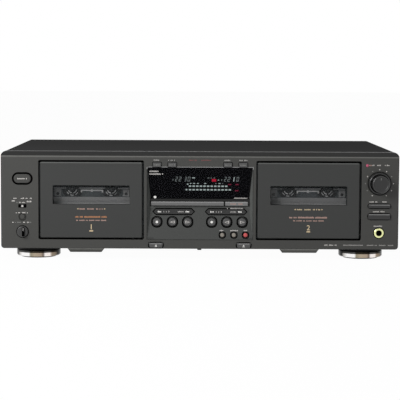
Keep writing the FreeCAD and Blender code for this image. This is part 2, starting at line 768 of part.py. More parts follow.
def centre_board():
    """The board behind the console, with the display tube's block and a switch behind each key."""
    half = CONSOLE_HALF - CONSOLE_FIT
    back = CONSOLE_BACK
    tube = CONSOLE_HALF - DISPLAY_INSET - TUBE_INSET
    low = VALLEY_TOP + DISPLAY_MARGIN + TUBE_MARGIN
    high = CONSOLE_TOP - DISPLAY_MARGIN - TUBE_MARGIN
    rocker_reach = ROCKER_LENGTH / 2 - 5.8
    places = [(x, TRANSPORT_Z) for name, x in TRANSPORT_KEYS]
    places += [(x, SMALL_KEY_Z) for name, x in SMALL_KEYS]
    places += [(x + shift, ROCKER_Z) for name, x in ROCKERS for shift in (-rocker_reach, rocker_reach)]
    places += [(DUBBING_BAR_X[0] + 12.0, BAR_Z), (DUBBING_BAR_X[1] - 12.0, BAR_Z)]
    places += [(sum(SPEED_BAR_X) / 2, BAR_Z)]
    pieces = [
        block(-half, half, back, back + BOARD_THICK,
              CONSOLE_BOTTOM + BOARD_MARGIN, CONSOLE_TOP - BOARD_MARGIN),
        block(-tube, tube, back - TUBE_DEPTH, back, low, high),
    ]
    for x, z in places:
        pieces.append(block(x - 3.0, x + 3.0, back - KEY_SWITCH, back, z - 2.2, z + 2.2))
    return join(pieces)


def left_board():
    """The board behind the left strip: blocks for the power key, timer slide, pitch key and pitch dial."""
    back = side_board_y()
    pieces = [block(-LEFT_BOARD_OUTER, -SIDE_BOARD_EDGE, back, back + BOARD_THICK, CASE_BOTTOM + 5.0,
                    POWER_Z + 12.4)]
    for z, half, rise, depth in (
        (POWER_Z, 8.0, 6.0, POWER_SWITCH), (TIMER_Z, 6.0, 3.0, STRIP_SWITCH),
        (PITCH_KEY_Z, 3.0, 3.0, STRIP_SWITCH), (PITCH_KNOB_Z, 6.0, 6.0, PITCH_DIAL),
    ):
        pieces.append(block(LEFT_X - half, LEFT_X + half, back - depth, back, z - rise, z + rise))
    return join(pieces)


def right_board():
    """The board behind the right strip: the level dial, the lamp's lead and two switches."""
    back = side_board_y()
    pieces = [
        block(SIDE_BOARD_EDGE, RIGHT_BOARD_OUTER, back, back + BOARD_THICK, PHONES_Z + 8.0, LAMP_Z + 4.8),
        rod_y(LEVEL_X, LEVEL_Z, 8.0, back - LEVEL_DIAL, back),
        rod_y(LAMP_X, LAMP_Z, 0.8, FRONT + LAMP_DEPTH, back),
    ]
    for name, x, z, width, height in RIGHT_BARS:
        pieces.append(block(x - 6.0, x + 6.0, back - BAR_SWITCH, back, z - 2.0, z + 2.0))
    return join(pieces)


def control_boards():
    save("control_boards", Part.makeCompound([centre_board(), left_board(), right_board()]))


# Keys, buttons and knobs

def round_key(name, x, z, radius, surface, shell):
    """A domed cap with a retaining collar behind the shell and a stem for its switch."""
    front = surface - KEY_PROUD
    collar = surface + shell + 1.5
    end = CONSOLE_BACK - KEY_SWITCH - KEY_TRAVEL - SEAT_GAP
    profile = [
        (0.0, front),
        (radius * 0.55, front + 0.05),
        (radius - 0.5, front + 0.2),
        (radius, front + 0.7),
        (radius, collar),
        (radius + KEY_COLLAR, collar),
        (radius + KEY_COLLAR, collar + KEY_COLLAR_THICK),
        (radius * 0.5, collar + KEY_COLLAR_THICK),
        (radius * 0.5, end),
        (0.0, end),
    ]
    save(name, turned_y(x, z, profile))


def console_keys():
    for name, x in TRANSPORT_KEYS:
        round_key(name, x, TRANSPORT_Z, TRANSPORT_R, control_plane(TRANSPORT_Z), CONSOLE_SHELL)
    for name, x in SMALL_KEYS:
        round_key(name, x, SMALL_KEY_Z, SMALL_KEY_R, control_plane(SMALL_KEY_Z), CONSOLE_SHELL)


def rockers():
    """Pointed keys that tip about an upright pin: a crowned face and a pivot barrel behind."""
    surface = control_plane(ROCKER_Z)
    for name, x in ROCKERS:
        cap = prism_y(rocker_outline(x, 0.0), surface - KEY_PROUD, surface + 3.6)
        barrel = rod_z(x, rocker_pivot_y(), 1.6, ROCKER_Z - ROCKER_HEIGHT / 2, ROCKER_Z + ROCKER_HEIGHT / 2)
        half = ROCKER_LENGTH / 2
        slope = 0.6
        face = [
            (x - half - 1.0, surface - KEY_PROUD - 1.0, 0),
            (x + half + 1.0, surface - KEY_PROUD - 1.0, 0),
            (x + half + 1.0, surface - KEY_PROUD, 0),
            (x + 2.0, surface - KEY_PROUD + slope, 1.0),
            (x - 2.0, surface - KEY_PROUD + slope, 1.0),
            (x - half - 1.0, surface - KEY_PROUD, 0),
        ]
        cap = cap.cut(prism_z(face, ROCKER_Z - ROCKER_HEIGHT, ROCKER_Z + ROCKER_HEIGHT))
        save(name, join([cap, barrel]))


def rocker_pivot_y():
    return control_plane(ROCKER_Z) + 3.6


def push_bar(name, x0, x1, z, height, front, back, corner, end):
    """A long key: a bar with chamfered front edges and a stem to its switch."""
    body = rounded_plate(x0, x1, z - height / 2, z + height / 2, corner, front, back)
    body = body.makeChamfer(KEY_EDGE, front_edges(body, front))
    middle = (x0 + x1) / 2
    stem = block(middle - 2.0, middle + 2.0, back, end, z - 1.2, z + 1.2)
    save(name, join([body, stem]))


def front_edges(body, front):
    return [
        edge for edge in body.Edges
        if abs(edge.BoundBox.YMin - front) < 1e-6 and abs(edge.BoundBox.YMax - front) < 1e-6
    ]


def bar_keys():
    front = FRONT + VALLEY_DEPTH - BAR_PROUD
    back = FRONT + VALLEY_DEPTH + CONSOLE_SHELL + 1.0
    end = CONSOLE_BACK - KEY_SWITCH - KEY_TRAVEL - SEAT_GAP
    push_bar("dubbing_bar", *DUBBING_BAR_X, BAR_Z, BAR_HEIGHT, front, back, 0.5, end)
    push_bar("dubbing_speed_button", *SPEED_BAR_X, BAR_Z, BAR_HEIGHT, front, back, 0.5, end)
    for name, x in TOP_KEYS:
        half = TOP_KEY_WIDTH / 2
        push_bar(name, x - half, x + half, TOP_KEY_Z, TOP_KEY_HEIGHT, FRONT - TOP_KEY_PROUD,
                 PANEL_INSIDE + 2.5, 0.5, PANEL_INSIDE + 6.0)
    for name, x, z, width, height in RIGHT_BARS:
        push_bar(name, x - width / 2, x + width / 2, z, height, FRONT - RIGHT_BAR_PROUD,
                 PANEL_INSIDE + 1.5, 1.0, side_board_y() - BAR_SWITCH - KEY_TRAVEL - SEAT_GAP)


def eject_keys():
    for side, x in (("left", -EJECT_X), ("right", EJECT_X)):
        cap = prism_y(eject_outline(x, 0.0), FRONT - EJECT_PROUD, PANEL_INSIDE + 1.0)
        cap = cap.makeChamfer(KEY_EDGE, front_edges(cap, FRONT - EJECT_PROUD))
        stem = block(x - 3.0, x + 3.0, PANEL_INSIDE + 1.0, PANEL_BACK - 3.5,
                     EJECT_BOTTOM + 1.4, EJECT_TOP - 1.0)
        save(side + "_eject_button", join([cap, stem]))


def power_button():
    cap = stadium(LEFT_X, POWER_Z, POWER_WIDTH, POWER_HEIGHT, FRONT - POWER_PROUD, PANEL_INSIDE + 1.5)
    cap = cap.makeChamfer(0.6, front_edges(cap, FRONT - POWER_PROUD))
    end = side_board_y() - POWER_SWITCH - KEY_TRAVEL - SEAT_GAP - 2.0
    stem = block(LEFT_X - 2.5, LEFT_X + 2.5, PANEL_INSIDE + 1.5, end, POWER_Z - 2.5, POWER_Z + 2.5)
    save("power_button", join([cap, stem]))


def timer_switch():
    lever_half = TIMER_LEVER_WIDTH / 2
    rise = TIMER_SLOT_HEIGHT / 2 - SLIDE_GAP
    lever = block(LEFT_X - lever_half, LEFT_X + lever_half, FRONT - 1.0, PANEL_INSIDE + SEAT_GAP,
                  TIMER_Z - rise, TIMER_Z + rise)
    ridges = [
        block(LEFT_X - lever_half - 0.1, LEFT_X + lever_half + 0.1,
              FRONT - 1.1, FRONT - 0.9, z - 0.15, z + 0.15)
        for z in (TIMER_Z - 0.8, TIMER_Z, TIMER_Z + 0.8)
    ]
    slider = block(LEFT_X - 5.0, LEFT_X + 5.0, PANEL_INSIDE + SEAT_GAP, PANEL_INSIDE + 1.5,
                   TIMER_Z - 3.0, TIMER_Z + 3.0)
    neck = block(LEFT_X - 1.0, LEFT_X + 1.0, PANEL_INSIDE + 1.5, side_board_y() - STRIP_SWITCH - SEAT_GAP,
                 TIMER_Z - 1.0, TIMER_Z + 1.0)
    save("timer_switch", join([lever] + ridges + [slider, neck]))


def pitch_key():
    radius = PITCH_KEY_R
    front = FRONT - 1.0
    end = side_board_y() - STRIP_SWITCH - KEY_TRAVEL - SEAT_GAP
    profile = [
        (0.0, front),
        (radius - 0.4, front + 0.1),
        (radius, front + 0.5),
        (radius, PANEL_INSIDE + 1.5),
        (radius + KEY_COLLAR, PANEL_INSIDE + 1.5),
        (radius + KEY_COLLAR, PANEL_INSIDE + 1.5 + KEY_COLLAR_THICK),
        (radius * 0.5, PANEL_INSIDE + 1.5 + KEY_COLLAR_THICK),
        (radius * 0.5, end),
        (0.0, end),
    ]
    save("pitch_button", turned_y(LEFT_X, PITCH_KEY_Z, profile))


def pitch_knob():
    """A low turned knob with an upright grip bar across its face."""
    radius = PITCH_KNOB_R
    back = FRONT - SEAT_GAP
    front = FRONT - PITCH_KNOB_PROUD
    end = side_board_y() - PITCH_DIAL - SEAT_GAP
    profile = [
        (0.0, front + 1.6),
        (radius - 0.9, front + 1.6),
        (radius, front + 2.2),
        (radius, back),
        (KNOB_SHAFT_R, back),
        (KNOB_SHAFT_R, end),
        (0.0, end),
    ]
    bar = rounded_plate(LEFT_X - 1.1, LEFT_X + 1.1, PITCH_KNOB_Z - radius + 0.3, PITCH_KNOB_Z + radius - 0.3,
                        0.6, front, front + 1.8)
    save("pitch_knob", join([turned_y(LEFT_X, PITCH_KNOB_Z, profile), bar]))


def level_knob():
    """A skirted knob: a thin skirt, a tapered grip with flutes, a dished face."""
    front = FRONT - KNOB_PROUD
    back = FRONT - SEAT_GAP
    end = side_board_y() - LEVEL_DIAL - SEAT_GAP
    profile = [
        (0.0, front + 0.5),
        (LEVEL_FACE_R - 1.8, front + 0.35),
        (LEVEL_FACE_R - 1.3, front),
        (LEVEL_FACE_R - 0.5, front),
        (LEVEL_FACE_R, front + 0.5),
        (LEVEL_FACE_R + 0.6, back - 3.0),
        (LEVEL_FACE_R + 1.4, back - 2.4),
        (LEVEL_SKIRT_R - 0.4, back - 2.0),
        (LEVEL_SKIRT_R, back - 1.5),
        (LEVEL_SKIRT_R, back),
        (KNOB_SHAFT_R, back),
        (KNOB_SHAFT_R, end),
        (0.0, end),
    ]
    cuts = [block(LEVEL_X - 0.4, LEVEL_X + 0.4, front - 1.0, front + 0.25,
                  LEVEL_Z + 3.0, LEVEL_Z + LEVEL_FACE_R + 1.0)]
    for index in range(LEVEL_FLUTES):
        angle = 2 * math.pi * (index + 0.5) / LEVEL_FLUTES
        reach = LEVEL_FACE_R + 0.6
        cuts.append(rod_y(LEVEL_X + reach * math.sin(angle), LEVEL_Z + reach * math.cos(angle), LEVEL_FLUTE_R,
                          front + 1.5, back - 3.3))
    save("record_level_knob", turned_y(LEVEL_X, LEVEL_Z, profile).cut(cuts))


def record_lamp():
    profile = [
        (0.0, FRONT - 0.6),
        (LAMP_R * 0.6, FRONT - 0.45),
        (LAMP_R, FRONT - 0.1),
        (LAMP_R, PANEL_INSIDE),
        (LAMP_R + 0.5, PANEL_INSIDE),
        (LAMP_R + 0.5, FRONT + LAMP_DEPTH),
        (0.0, FRONT + LAMP_DEPTH),
    ]
    save("record_lamp", turned_y(LAMP_X, LAMP_Z, profile))


def phones_jack():
    proud = FRONT - PHONES_RING_PROUD
    back = proud + PHONES_LENGTH
    half = PHONES_BODY_HALF
    ring = [
        (PHONES_BORE_R, proud),
        (PHONES_RING_R - 0.6, proud),
        (PHONES_RING_R, FRONT - 0.3),
        (PHONES_RING_R, FRONT),
        (PHONES_SLEEVE_R, FRONT),
        (PHONES_SLEEVE_R, PANEL_INSIDE),
        (PHONES_BORE_R, PANEL_INSIDE),
    ]
    body = block(PHONES_X - half, PHONES_X + half, PANEL_INSIDE, back, PHONES_Z - half, PHONES_Z + half)
    body = body.cut(rod_y(PHONES_X, PHONES_Z, PHONES_BORE_R, PANEL_INSIDE - 1.0, back - 2.0))
    save("phones_jack", join([turned_y(PHONES_X, PHONES_Z, ring), body]))


# Doors

def door(side, centre):
    half = DOOR_WIDTH / 2
    lid = rounded_plate(centre - half, centre + half, DOOR_BOTTOM, DOOR_TOP, DOOR_RADIUS,
                        FRONT, FRONT + DOOR_THICK)
    lid = lid.makeChamfer(DOOR_CHAMFER, front_edges(lid, FRONT))
    wide = WINDOW_WIDTH / 2
    pane_hole = rounded_plate(centre - wide, centre + wide, WINDOW_BOTTOM, WINDOW_TOP, WINDOW_RADIUS,
                              FRONT - 1.0, FRONT + DOOR_THICK + 1.0)
    save(side + "_door", lid.cut(pane_hole))

    fit = WINDOW_FIT
    inner = FRONT + DOOR_THICK
    pane = join([
        rounded_plate(centre - wide + fit, centre + wide - fit, WINDOW_BOTTOM + fit, WINDOW_TOP - fit,
                      WINDOW_RADIUS, FRONT + WINDOW_RECESS, inner),
        rounded_plate(centre - wide - WINDOW_LAP, centre + wide + WINDOW_LAP, WINDOW_BOTTOM - WINDOW_LAP,
                      WINDOW_TOP + WINDOW_LAP, WINDOW_RADIUS, inner, inner + WINDOW_FLANGE),
    ])
    save(side + "_door_window", pane)


def cassette_holder(side, centre):
    """A front frame round the window, two channels for the cassette's ends, ears with pins."""
    y0 = FRONT + DOOR_THICK
    y1 = y0 + HOLDER_PLATE
    half = HOLDER_HALF
    outer = half + HOLDER_WALL
    top = CASSETTE_EDGE + CASSETTE_HEIGHT
    channel = y1 + CASSETTE_THICK + CASSETTE_PLAY
    wide = WINDOW_WIDTH / 2 + WINDOW_LAP + 0.5
    plate = rounded_plate(centre - outer, centre + outer, HINGE_Z + 3.5, top, 1.5, y0, y1)
    plate = plate.cut(rounded_plate(centre - wide, centre + wide, WINDOW_BOTTOM - WINDOW_LAP - 0.5,
                                    WINDOW_TOP + WINDOW_LAP + 0.5, 1.0, y0 - 1.0, y1 + 1.0))
    pieces = [plate]
    shelf_z = CASSETTE_EDGE - SEAT_GAP
    for sign in (-1.0, 1.0):
        ear = [
            (y0, HINGE_Z - 2.8, 1.5),
            (HINGE_Y + 3.0, HINGE_Z - 2.8, 2.5),
            (channel + HOLDER_PLATE, HINGE_Z + 12.0, 2.0),
            (channel + HOLDER_PLATE, top, 3.0),
            (y0, top, 0.5),
        ]
        a = centre + sign * half
        b = centre + sign * outer
        pieces.append(prism_x(ear, min(a, b), max(a, b)))
        lip = centre + sign * (half - 4.5)
        pieces.append(block(min(lip, b), max(lip, b), channel, channel + HOLDER_PLATE, CASSETTE_EDGE + 21.5,
                            top - 3.0))
        shelf = centre + sign * (half - 14.8)
        pieces.append(block(min(shelf, b), max(shelf, b), y1, channel, shelf_z - 1.4, shelf_z))
        spring = centre + sign * (half - 5.8)
        pieces.append(block(spring - 2.0, spring + 2.0, y1, y1 + 0.4, top - 18.3, top - 6.3))
        end = centre + sign * bracket_outer()
        pieces.append(rod_x(HINGE_Y, HINGE_Z, HINGE_PIN_R, min(b, end), max(b, end)))
    save(side + "_cassette_holder", join(pieces))


# Mechanism

def bracket_inner():
    return DOOR_WIDTH / 2 + DOOR_GAP_SIDE + SEAT_GAP


def bracket_outer():
    return bracket_inner() + HINGE_BRACKET


def reel_places(centre):
    return ((centre - REEL_SPACING / 2, REEL_Z), (centre + REEL_SPACING / 2, REEL_Z))


def capstan_places(centre):
    return ((centre - CAPSTAN_SPACING / 2, CAPSTAN_Z), (centre + CAPSTAN_SPACING / 2, CAPSTAN_Z))


def flywheel_y():
    return DECK_Y + DECK_PLATE + 2.6


def rear_bracket_y():
    return DECK_Y + DECK_PLATE + REAR_BRACKET_GAP


def hinge_bracket(centre, sign):
    """An upright ear at one side of the well, with the bore for the holder's hinge pin."""
    ear = [
        (PANEL_INSIDE, HINGE_Z - 5.5, 1.0),
        (DECK_Y, HINGE_Z - 5.5, 0),
        (DECK_Y, HINGE_Z + 16.0, 0),
        (PANEL_INSIDE, HINGE_Z + 5.5, 1.0),
    ]
    a = centre + sign * bracket_inner()
    b = centre + sign * bracket_outer()
    bore = rod_x(HINGE_Y, HINGE_Z, HINGE_PIN_R + SHAFT_GAP, min(a, b) - 1.0, max(a, b) + 1.0)
    return prism_x(ear, min(a, b), max(a, b)).cut(bore)


def well_trim(centre):
    """What the window shows of the deck: a ribbed sill, a pad at each end and the tie between the hubs."""
    low = WINDOW_BOTTOM
    high = low + WELL_SILL_HEIGHT
    wide = WINDOW_WIDTH / 2
    sill = block(centre - wide, centre + wide, WELL_FRONT, WELL_FRONT + WELL_TRIM, low, high)
    pitch = WELL_SILL_HEIGHT / (WELL_GROOVES + 1)
    grooves = []
    for index in range(WELL_GROOVES):
        z = low + pitch * (index + 1)
        grooves.append(block(centre - wide - 1.0, centre + wide + 1.0, WELL_FRONT - 1.0,
                             WELL_FRONT + WELL_GROOVE_DEPTH, z - WELL_GROOVE / 2, z + WELL_GROOVE / 2))
    pieces = [sill.cut(grooves), block(centre - wide, centre + wide, WELL_FRONT + WELL_TRIM, DECK_Y, low,
                                       low + WELL_SILL_FOOT)]
    for sign in (-1.0, 1.0):
        a = centre + sign * (REEL_SPACING / 2 + REEL_DISC_R + WELL_PAD_GAP)
        b = a + sign * WELL_PAD_WIDTH
        pieces.append(rounded_plate(min(a, b), max(a, b), high - WELL_OVERLAP, high + WELL_PAD_HEIGHT, 0.6,
                                    WELL_FRONT + WELL_TRIM / 2, DECK_Y))
    tie_z = REEL_Z + TIE_ABOVE_REEL
    rise = TIE_HEIGHT / 2
    pieces.append(block(centre - TIE_HALF, centre + TIE_HALF, WELL_FRONT, WELL_FRONT + WELL_TRIM,
                        tie_z - rise, tie_z + rise))
    for sign in (-1.0, 1.0):
        end = centre + sign * TIE_HALF
        pieces.append(block(end - TIE_HOOK / 2, end + TIE_HOOK / 2, WELL_FRONT, WELL_FRONT + WELL_TRIM,
                            tie_z - rise - TIE_HOOK, tie_z + rise))
    pieces.append(rod_y(centre, tie_z, TIE_HEIGHT, WELL_FRONT, WELL_FRONT + WELL_TRIM))
    block_half = REEL_SPACING / 2 - REEL_DISC_R - TIE_BLOCK_GAP
    pieces.append(block(centre - block_half, centre + block_half, WELL_FRONT + WELL_TRIM, DECK_Y,
                        high - WELL_OVERLAP, tie_z + TIE_HEIGHT))
    return pieces


def mechanism_frame(side, centre):
    """The deck plate with bearings and guide posts, hinge brackets, and the motor bracket behind."""
    outer = bracket_outer()
    back = DECK_Y + DECK_PLATE
    bracket_half = outer - REAR_BRACKET_INSET
    bracket_low = DECK_BOTTOM + REAR_BRACKET_MARGIN
    bracket_high = DECK_TOP - REAR_BRACKET_MARGIN - 1.5
    pieces = [rounded_plate(centre - outer, centre + outer, DECK_BOTTOM, DECK_TOP, 2.0, DECK_Y, back)]
    for sign in (-1.0, 1.0):
        pieces.append(hinge_bracket(centre, sign))
        pieces.append(rod_y(centre + sign * (HOLDER_HALF - 8.8), CASSETTE_EDGE + 15.5, 1.8,
                            DECK_Y - 3.2, DECK_Y))
        for z in (bracket_low + 6.0, bracket_high - 4.0):
            pieces.append(rod_y(centre + sign * (bracket_half - 3.0), z, BRACKET_POST_R,
                                back, rear_bracket_y()))
        pieces.append(rod_y(centre + sign * BRIDGE_GUIDE_X, BRIDGE_GUIDE_Z, BRIDGE_GUIDE_R,
                            DECK_Y - BRIDGE_THICK - 1.2, DECK_Y))
    for x, z in reel_places(centre):
        pieces.append(rod_y(x, z, 3.5, DECK_Y - 0.5, DECK_Y))
        pieces.append(rod_y(x, z, SPINDLE_PIN_R, DECK_Y - 8.0, DECK_Y))
    for x, z in capstan_places(centre):
        pieces.append(rod_y(x, z, 3.2, back, flywheel_y() - SEAT_GAP))
    pieces.append(rounded_plate(centre - bracket_half, centre + bracket_half, bracket_low, bracket_high, 3.0,
                                rear_bracket_y(), rear_bracket_y() + DECK_PLATE))
    frame = join(pieces + well_trim(centre))
    cuts = [rod_y(x, z, CAPSTAN_R + SHAFT_GAP, DECK_Y - 2.0, rear_bracket_y() - 0.1)
            for x, z in capstan_places(centre)]
    cuts.append(rod_y(centre, MOTOR_Z, 5.0, rear_bracket_y() - 1.0, rear_bracket_y() + DECK_PLATE + 1.0))
    cuts.append(rounded_plate(centre - HEAD_HALF - 1.5, centre + HEAD_HALF + 1.5, BRIDGE_GUIDE_Z,
                              BRIDGE_GUIDE_Z + 22.0, 1.0, DECK_Y - 1.0, back + 1.0))
    save(side + "_mechanism_frame", frame.cut(cuts))


def reel_table(name, x, z):
    """A driven disc and a spindle with three splines that fit a cassette hub."""
    back = DECK_Y - 0.5 - SEAT_GAP
    profile = [
        (SPINDLE_PIN_R + SHAFT_GAP, back),
        (REEL_DISC_R, back),
        (REEL_DISC_R, back - 1.4),
        (REEL_HUB_R, back - 1.4),
        (REEL_HUB_R, back - 2.6),
        (SPINDLE_R, back - 2.6),
        (SPINDLE_R, back - 8.2),
        (SPINDLE_R - 0.8, back - 9.6),
        (0.0, back - 9.6),
        (0.0, back - 7.5),
        (SPINDLE_PIN_R + SHAFT_GAP, back - 7.5),
    ]
    pieces = [turned_y(x, z, profile)]
    for index in range(3):
        root = x + SPINDLE_R - 0.6
        tip = x + SPINDLE_R + 1.6
        fin = prism_y([(root, z - 0.6, 0), (tip, z - 0.45, 0.3), (tip, z + 0.45, 0.3), (root, z + 0.6, 0)],
                      back - 7.8, back - 2.6)
        fin.rotate(Vector(x, 0, z), Vector(0, 1, 0), 90 + 120 * index)
        pieces.append(fin)
    save(name, join(pieces))


def capstan(name, x, z):
    """A ground shaft through the deck plate, pressed into its flywheel."""
    y0 = flywheel_y()
    y1 = y0 + FLYWHEEL_THICK
    end = rear_bracket_y() - SEAT_GAP
    profile = [
        (0.0, DECK_Y - 10.0),
        (CAPSTAN_R - 0.3, DECK_Y - 10.0),
        (CAPSTAN_R, DECK_Y - 9.6),
        (CAPSTAN_R, y0),
        (FLYWHEEL_R - 0.8, y0),
        (FLYWHEEL_R, y0 + 0.8),
        (FLYWHEEL_R, y0 + 2.0),
        (FLYWHEEL_R - 0.6, y0 + 3.0),
        (FLYWHEEL_R, y0 + 4.0),
        (FLYWHEEL_R, y1),
        (FLYWHEEL_R - 4.0, y1),
        (FLYWHEEL_R - 4.5, y1 - 2.0),
        (FLYWHEEL_HUB_R, y1 - 2.0),
        (FLYWHEEL_HUB_R, y1),
        (CAPSTAN_R, y1),
        (CAPSTAN_R, end),
        (0.0, end),
    ]
    save(name, turned_y(x, z, profile))


def head_bridge(side, centre):
    """A sliding plate with the tape head in the middle and a pinch roller at each capstan."""
    y1 = DECK_Y - SLIDE_GAP
    y0 = y1 - BRIDGE_THICK
    low = BRIDGE_GUIDE_Z - 5.5
    high = BRIDGE_GUIDE_Z + 2.5
    plate = rounded_plate(centre - BRIDGE_HALF, centre + BRIDGE_HALF, low, high, 1.5, y0, y1)
    guide = BRIDGE_GUIDE_R + SLIDE_GAP
    slots = []
    for sign in (-1.0, 1.0):
        x = centre + sign * BRIDGE_GUIDE_X
        slots.append(rounded_plate(x - guide, x + guide, BRIDGE_GUIDE_Z - BRIDGE_TRAVEL - guide,
                                   BRIDGE_GUIDE_Z + guide, 1.2, y0 - 1.0, y1 + 1.0))
    pieces = [plate.cut(slots)]
    head_top = BRIDGE_GUIDE_Z + 6.0
    left = centre - HEAD_HALF
    right = centre + HEAD_HALF
    pieces.append(block(left, right, y0 - 8.0, y0, BRIDGE_GUIDE_Z - 2.0, head_top))
    crown = rod_y(centre, BRIDGE_GUIDE_Z + 1.5, HEAD_HALF - 0.5, y0 - 7.6, y0 - 0.4)
    pieces.append(crown.common(block(left, right, y0 - 8.0, y0, head_top, head_top + 3.0)))
    for x, z in capstan_places(centre):
        roller_z = z - CAPSTAN_R - SEAT_GAP - ROLLER_R - BRIDGE_TRAVEL
        pieces.append(rod_y(x, roller_z, ROLLER_R, y0 - 7.6, y0 - 0.8))
        pieces.append(rod_y(x, roller_z, 1.0, y0 - 8.6, y0))
        pieces.append(block(x - 1.6, x + 1.6, y0 - 0.8, y0, roller_z - 2.0, roller_z + 4.0))
    save(side + "_head_bridge", join(pieces))


def drive_motors():
    """Round motors behind the bracket, each with its pulley between the flywheels."""
    motors = []
    for side, centre in well_centres():
        y = rear_bracket_y() + DECK_PLATE
        profile = [
            (0.0, y - DECK_PLATE - 8.0),
            (PULLEY_R, y - DECK_PLATE - 8.0),
            (PULLEY_R - 0.5, y - DECK_PLATE - 5.5),
            (PULLEY_R, y - DECK_PLATE - 3.0),
            (1.0, y - DECK_PLATE - 3.0),
            (1.0, y - 0.8),
            (4.0, y - 0.8),
            (4.0, y),
            (MOTOR_R - 1.0, y),
            (MOTOR_R, y + 1.0),
            (MOTOR_R, y + MOTOR_LENGTH - 1.5),
            (MOTOR_R - 1.5, y + MOTOR_LENGTH),
            (0.0, y + MOTOR_LENGTH),
        ]
        motors.append(turned_y(centre, MOTOR_Z, profile))
    save("drive_motors", Part.makeCompound(motors))


# Case

def top_cover():
    """Folded sheet: a flat top and two sides with rounded folds."""
    half = HALF_WIDTH - COVER_INSET
    y0 = PANEL_BACK + COVER_GAP
    low = CASE_BOTTOM + COVER_LIFT
    outer = [
        (-half, low, 0), (half, low, 0),
        (half, CASE_TOP, PANEL_TOP_RADIUS - 0.5), (-half, CASE_TOP, PANEL_TOP_RADIUS - 0.5),
    ]
    inner_radius = PANEL_TOP_RADIUS - 0.5 - SHEET
    inner = [
        (-half + SHEET, low - 1.0, 0), (half - SHEET, low - 1.0, 0),
        (half - SHEET, CASE_TOP - SHEET, inner_radius), (-half + SHEET, CASE_TOP - SHEET, inner_radius),
    ]
    cover = prism_y(outer, y0, REAR).cut(prism_y(inner, y0 - 1.0, REAR + 1.0))
    save("top_cover", cover)


def chassis_half():
    return HALF_WIDTH - COVER_INSET - SHEET - SEAT_GAP


def pressed_rib(x, width, inset, z0, z1):
    """A tapered pan: a wide rectangle at the sheet, a narrower one at its bottom."""
    y_mid = PANEL_BACK + PRESSED_RIB_SETBACK + PRESSED_RIB_LENGTH / 2
    wires = []
    for z, shrink in ((z1, inset), (z0, inset + PRESSED_RIB_TAPER)):
        a = width / 2 - shrink
        b = PRESSED_RIB_LENGTH / 2 - shrink
        points = [
            Vector(x - a, y_mid - b, z), Vector(x + a, y_mid - b, z),
            Vector(x + a, y_mid + b, z), Vector(x - a, y_mid + b, z),
        ]
        wires.append(Part.makePolygon(points + [points[0]]))
    return Part.makeLoft(wires, True, True)


def bottom_chassis():
    half = chassis_half()
    y0 = PANEL_BACK
    y1 = REAR - SHEET
    z0 = CASE_BOTTOM
    z1 = z0 + SHEET
    pieces = [block(-half, half, y0, y1, z0, z1)]
    for sign in (-1.0, 1.0):
        a = sign * half
        b = sign * (half - SHEET)
        pieces.append(block(min(a, b), max(a, b), y0, y1, z0, z0 + FLANGE_HEIGHT))
    pieces.append(block(-half, half, y0, y0 + SHEET, z0, z0 + FRONT_FLANGE_HEIGHT))
    for x, width in PRESSED_RIBS:
        pieces.append(pressed_rib(x, width, 0.0, z0 - PRESSED_RIB_DEPTH, z0))
    for x, y in board_bosses():
        pieces.append(rod_z(x, y, BOARD_BOSS_R, z1, z1 + BOARD_LIFT))
    tray = join(pieces)
    cuts = []
    for x, width in PRESSED_RIBS:
        cuts.append(pressed_rib(x, width, SHEET, z0 - PRESSED_RIB_DEPTH + SHEET, z1 + 0.001))
    for y in SLOT_ROWS:
        for index in range(SLOT_COUNT):
            x = SLOT_PITCH * (index - (SLOT_COUNT - 1) / 2)
            slot = [(x, y, 1.4), (x + SLOT_WIDTH, y, 1.4), (x + SLOT_WIDTH, y + SLOT_LENGTH, 1.4),
                    (x, y + SLOT_LENGTH, 1.4)]
            cuts.append(prism_z(slot, z0 - 1.0, z1 + 1.0))
    save("bottom_chassis", tray.cut(cuts))


def board_bosses():
    x0, x1, y0, y1 = MAIN_BOARD
    inset = BOARD_BOSS_INSET
    return tuple((x, y) for y in (y0 + inset, y1 - inset) for x in (x0 + inset, x1 - inset))


def rear_panel():
    half = chassis_half()
    top = CASE_TOP - SHEET - SEAT_GAP
    outline = [(-half, CASE_BOTTOM, 0), (half, CASE_BOTTOM, 0), (half, top, 3.5), (-half, top, 3.5)]
    plate = prism_y(outline, REAR - SHEET, REAR)
    y0 = REAR - SHEET - 1.0
    y1 = REAR + 1.0
    wide = socket_body_half() + WINDOW_FIT
    tall = socket_body_rise() + WINDOW_FIT
    cuts = [
        block(SOCKET_X - wide, SOCKET_X + wide, y0, y1, SOCKET_Z - tall, SOCKET_Z + tall),
        rod_y(GLAND_X, GLAND_Z, GLAND_R + SHAFT_GAP, y0, y1),
    ]
    for row in range(2):
        for index in range(VENT_COUNT):
            x = VENT_PITCH * (index - (VENT_COUNT - 1) / 2)
            z = CASE_TOP - VENT_TOP_DROP - VENT_PITCH * row
            cuts.append(stadium(x, z, VENT_LENGTH, VENT_HEIGHT, y0, y1))
    save("rear_panel", plate.cut(cuts))


def socket_body_half():
    return SOCKET_PITCH_X / 2 + SOCKET_R + 3.0


def socket_body_rise():
    return SOCKET_PITCH_Z / 2 + SOCKET_R + 2.5


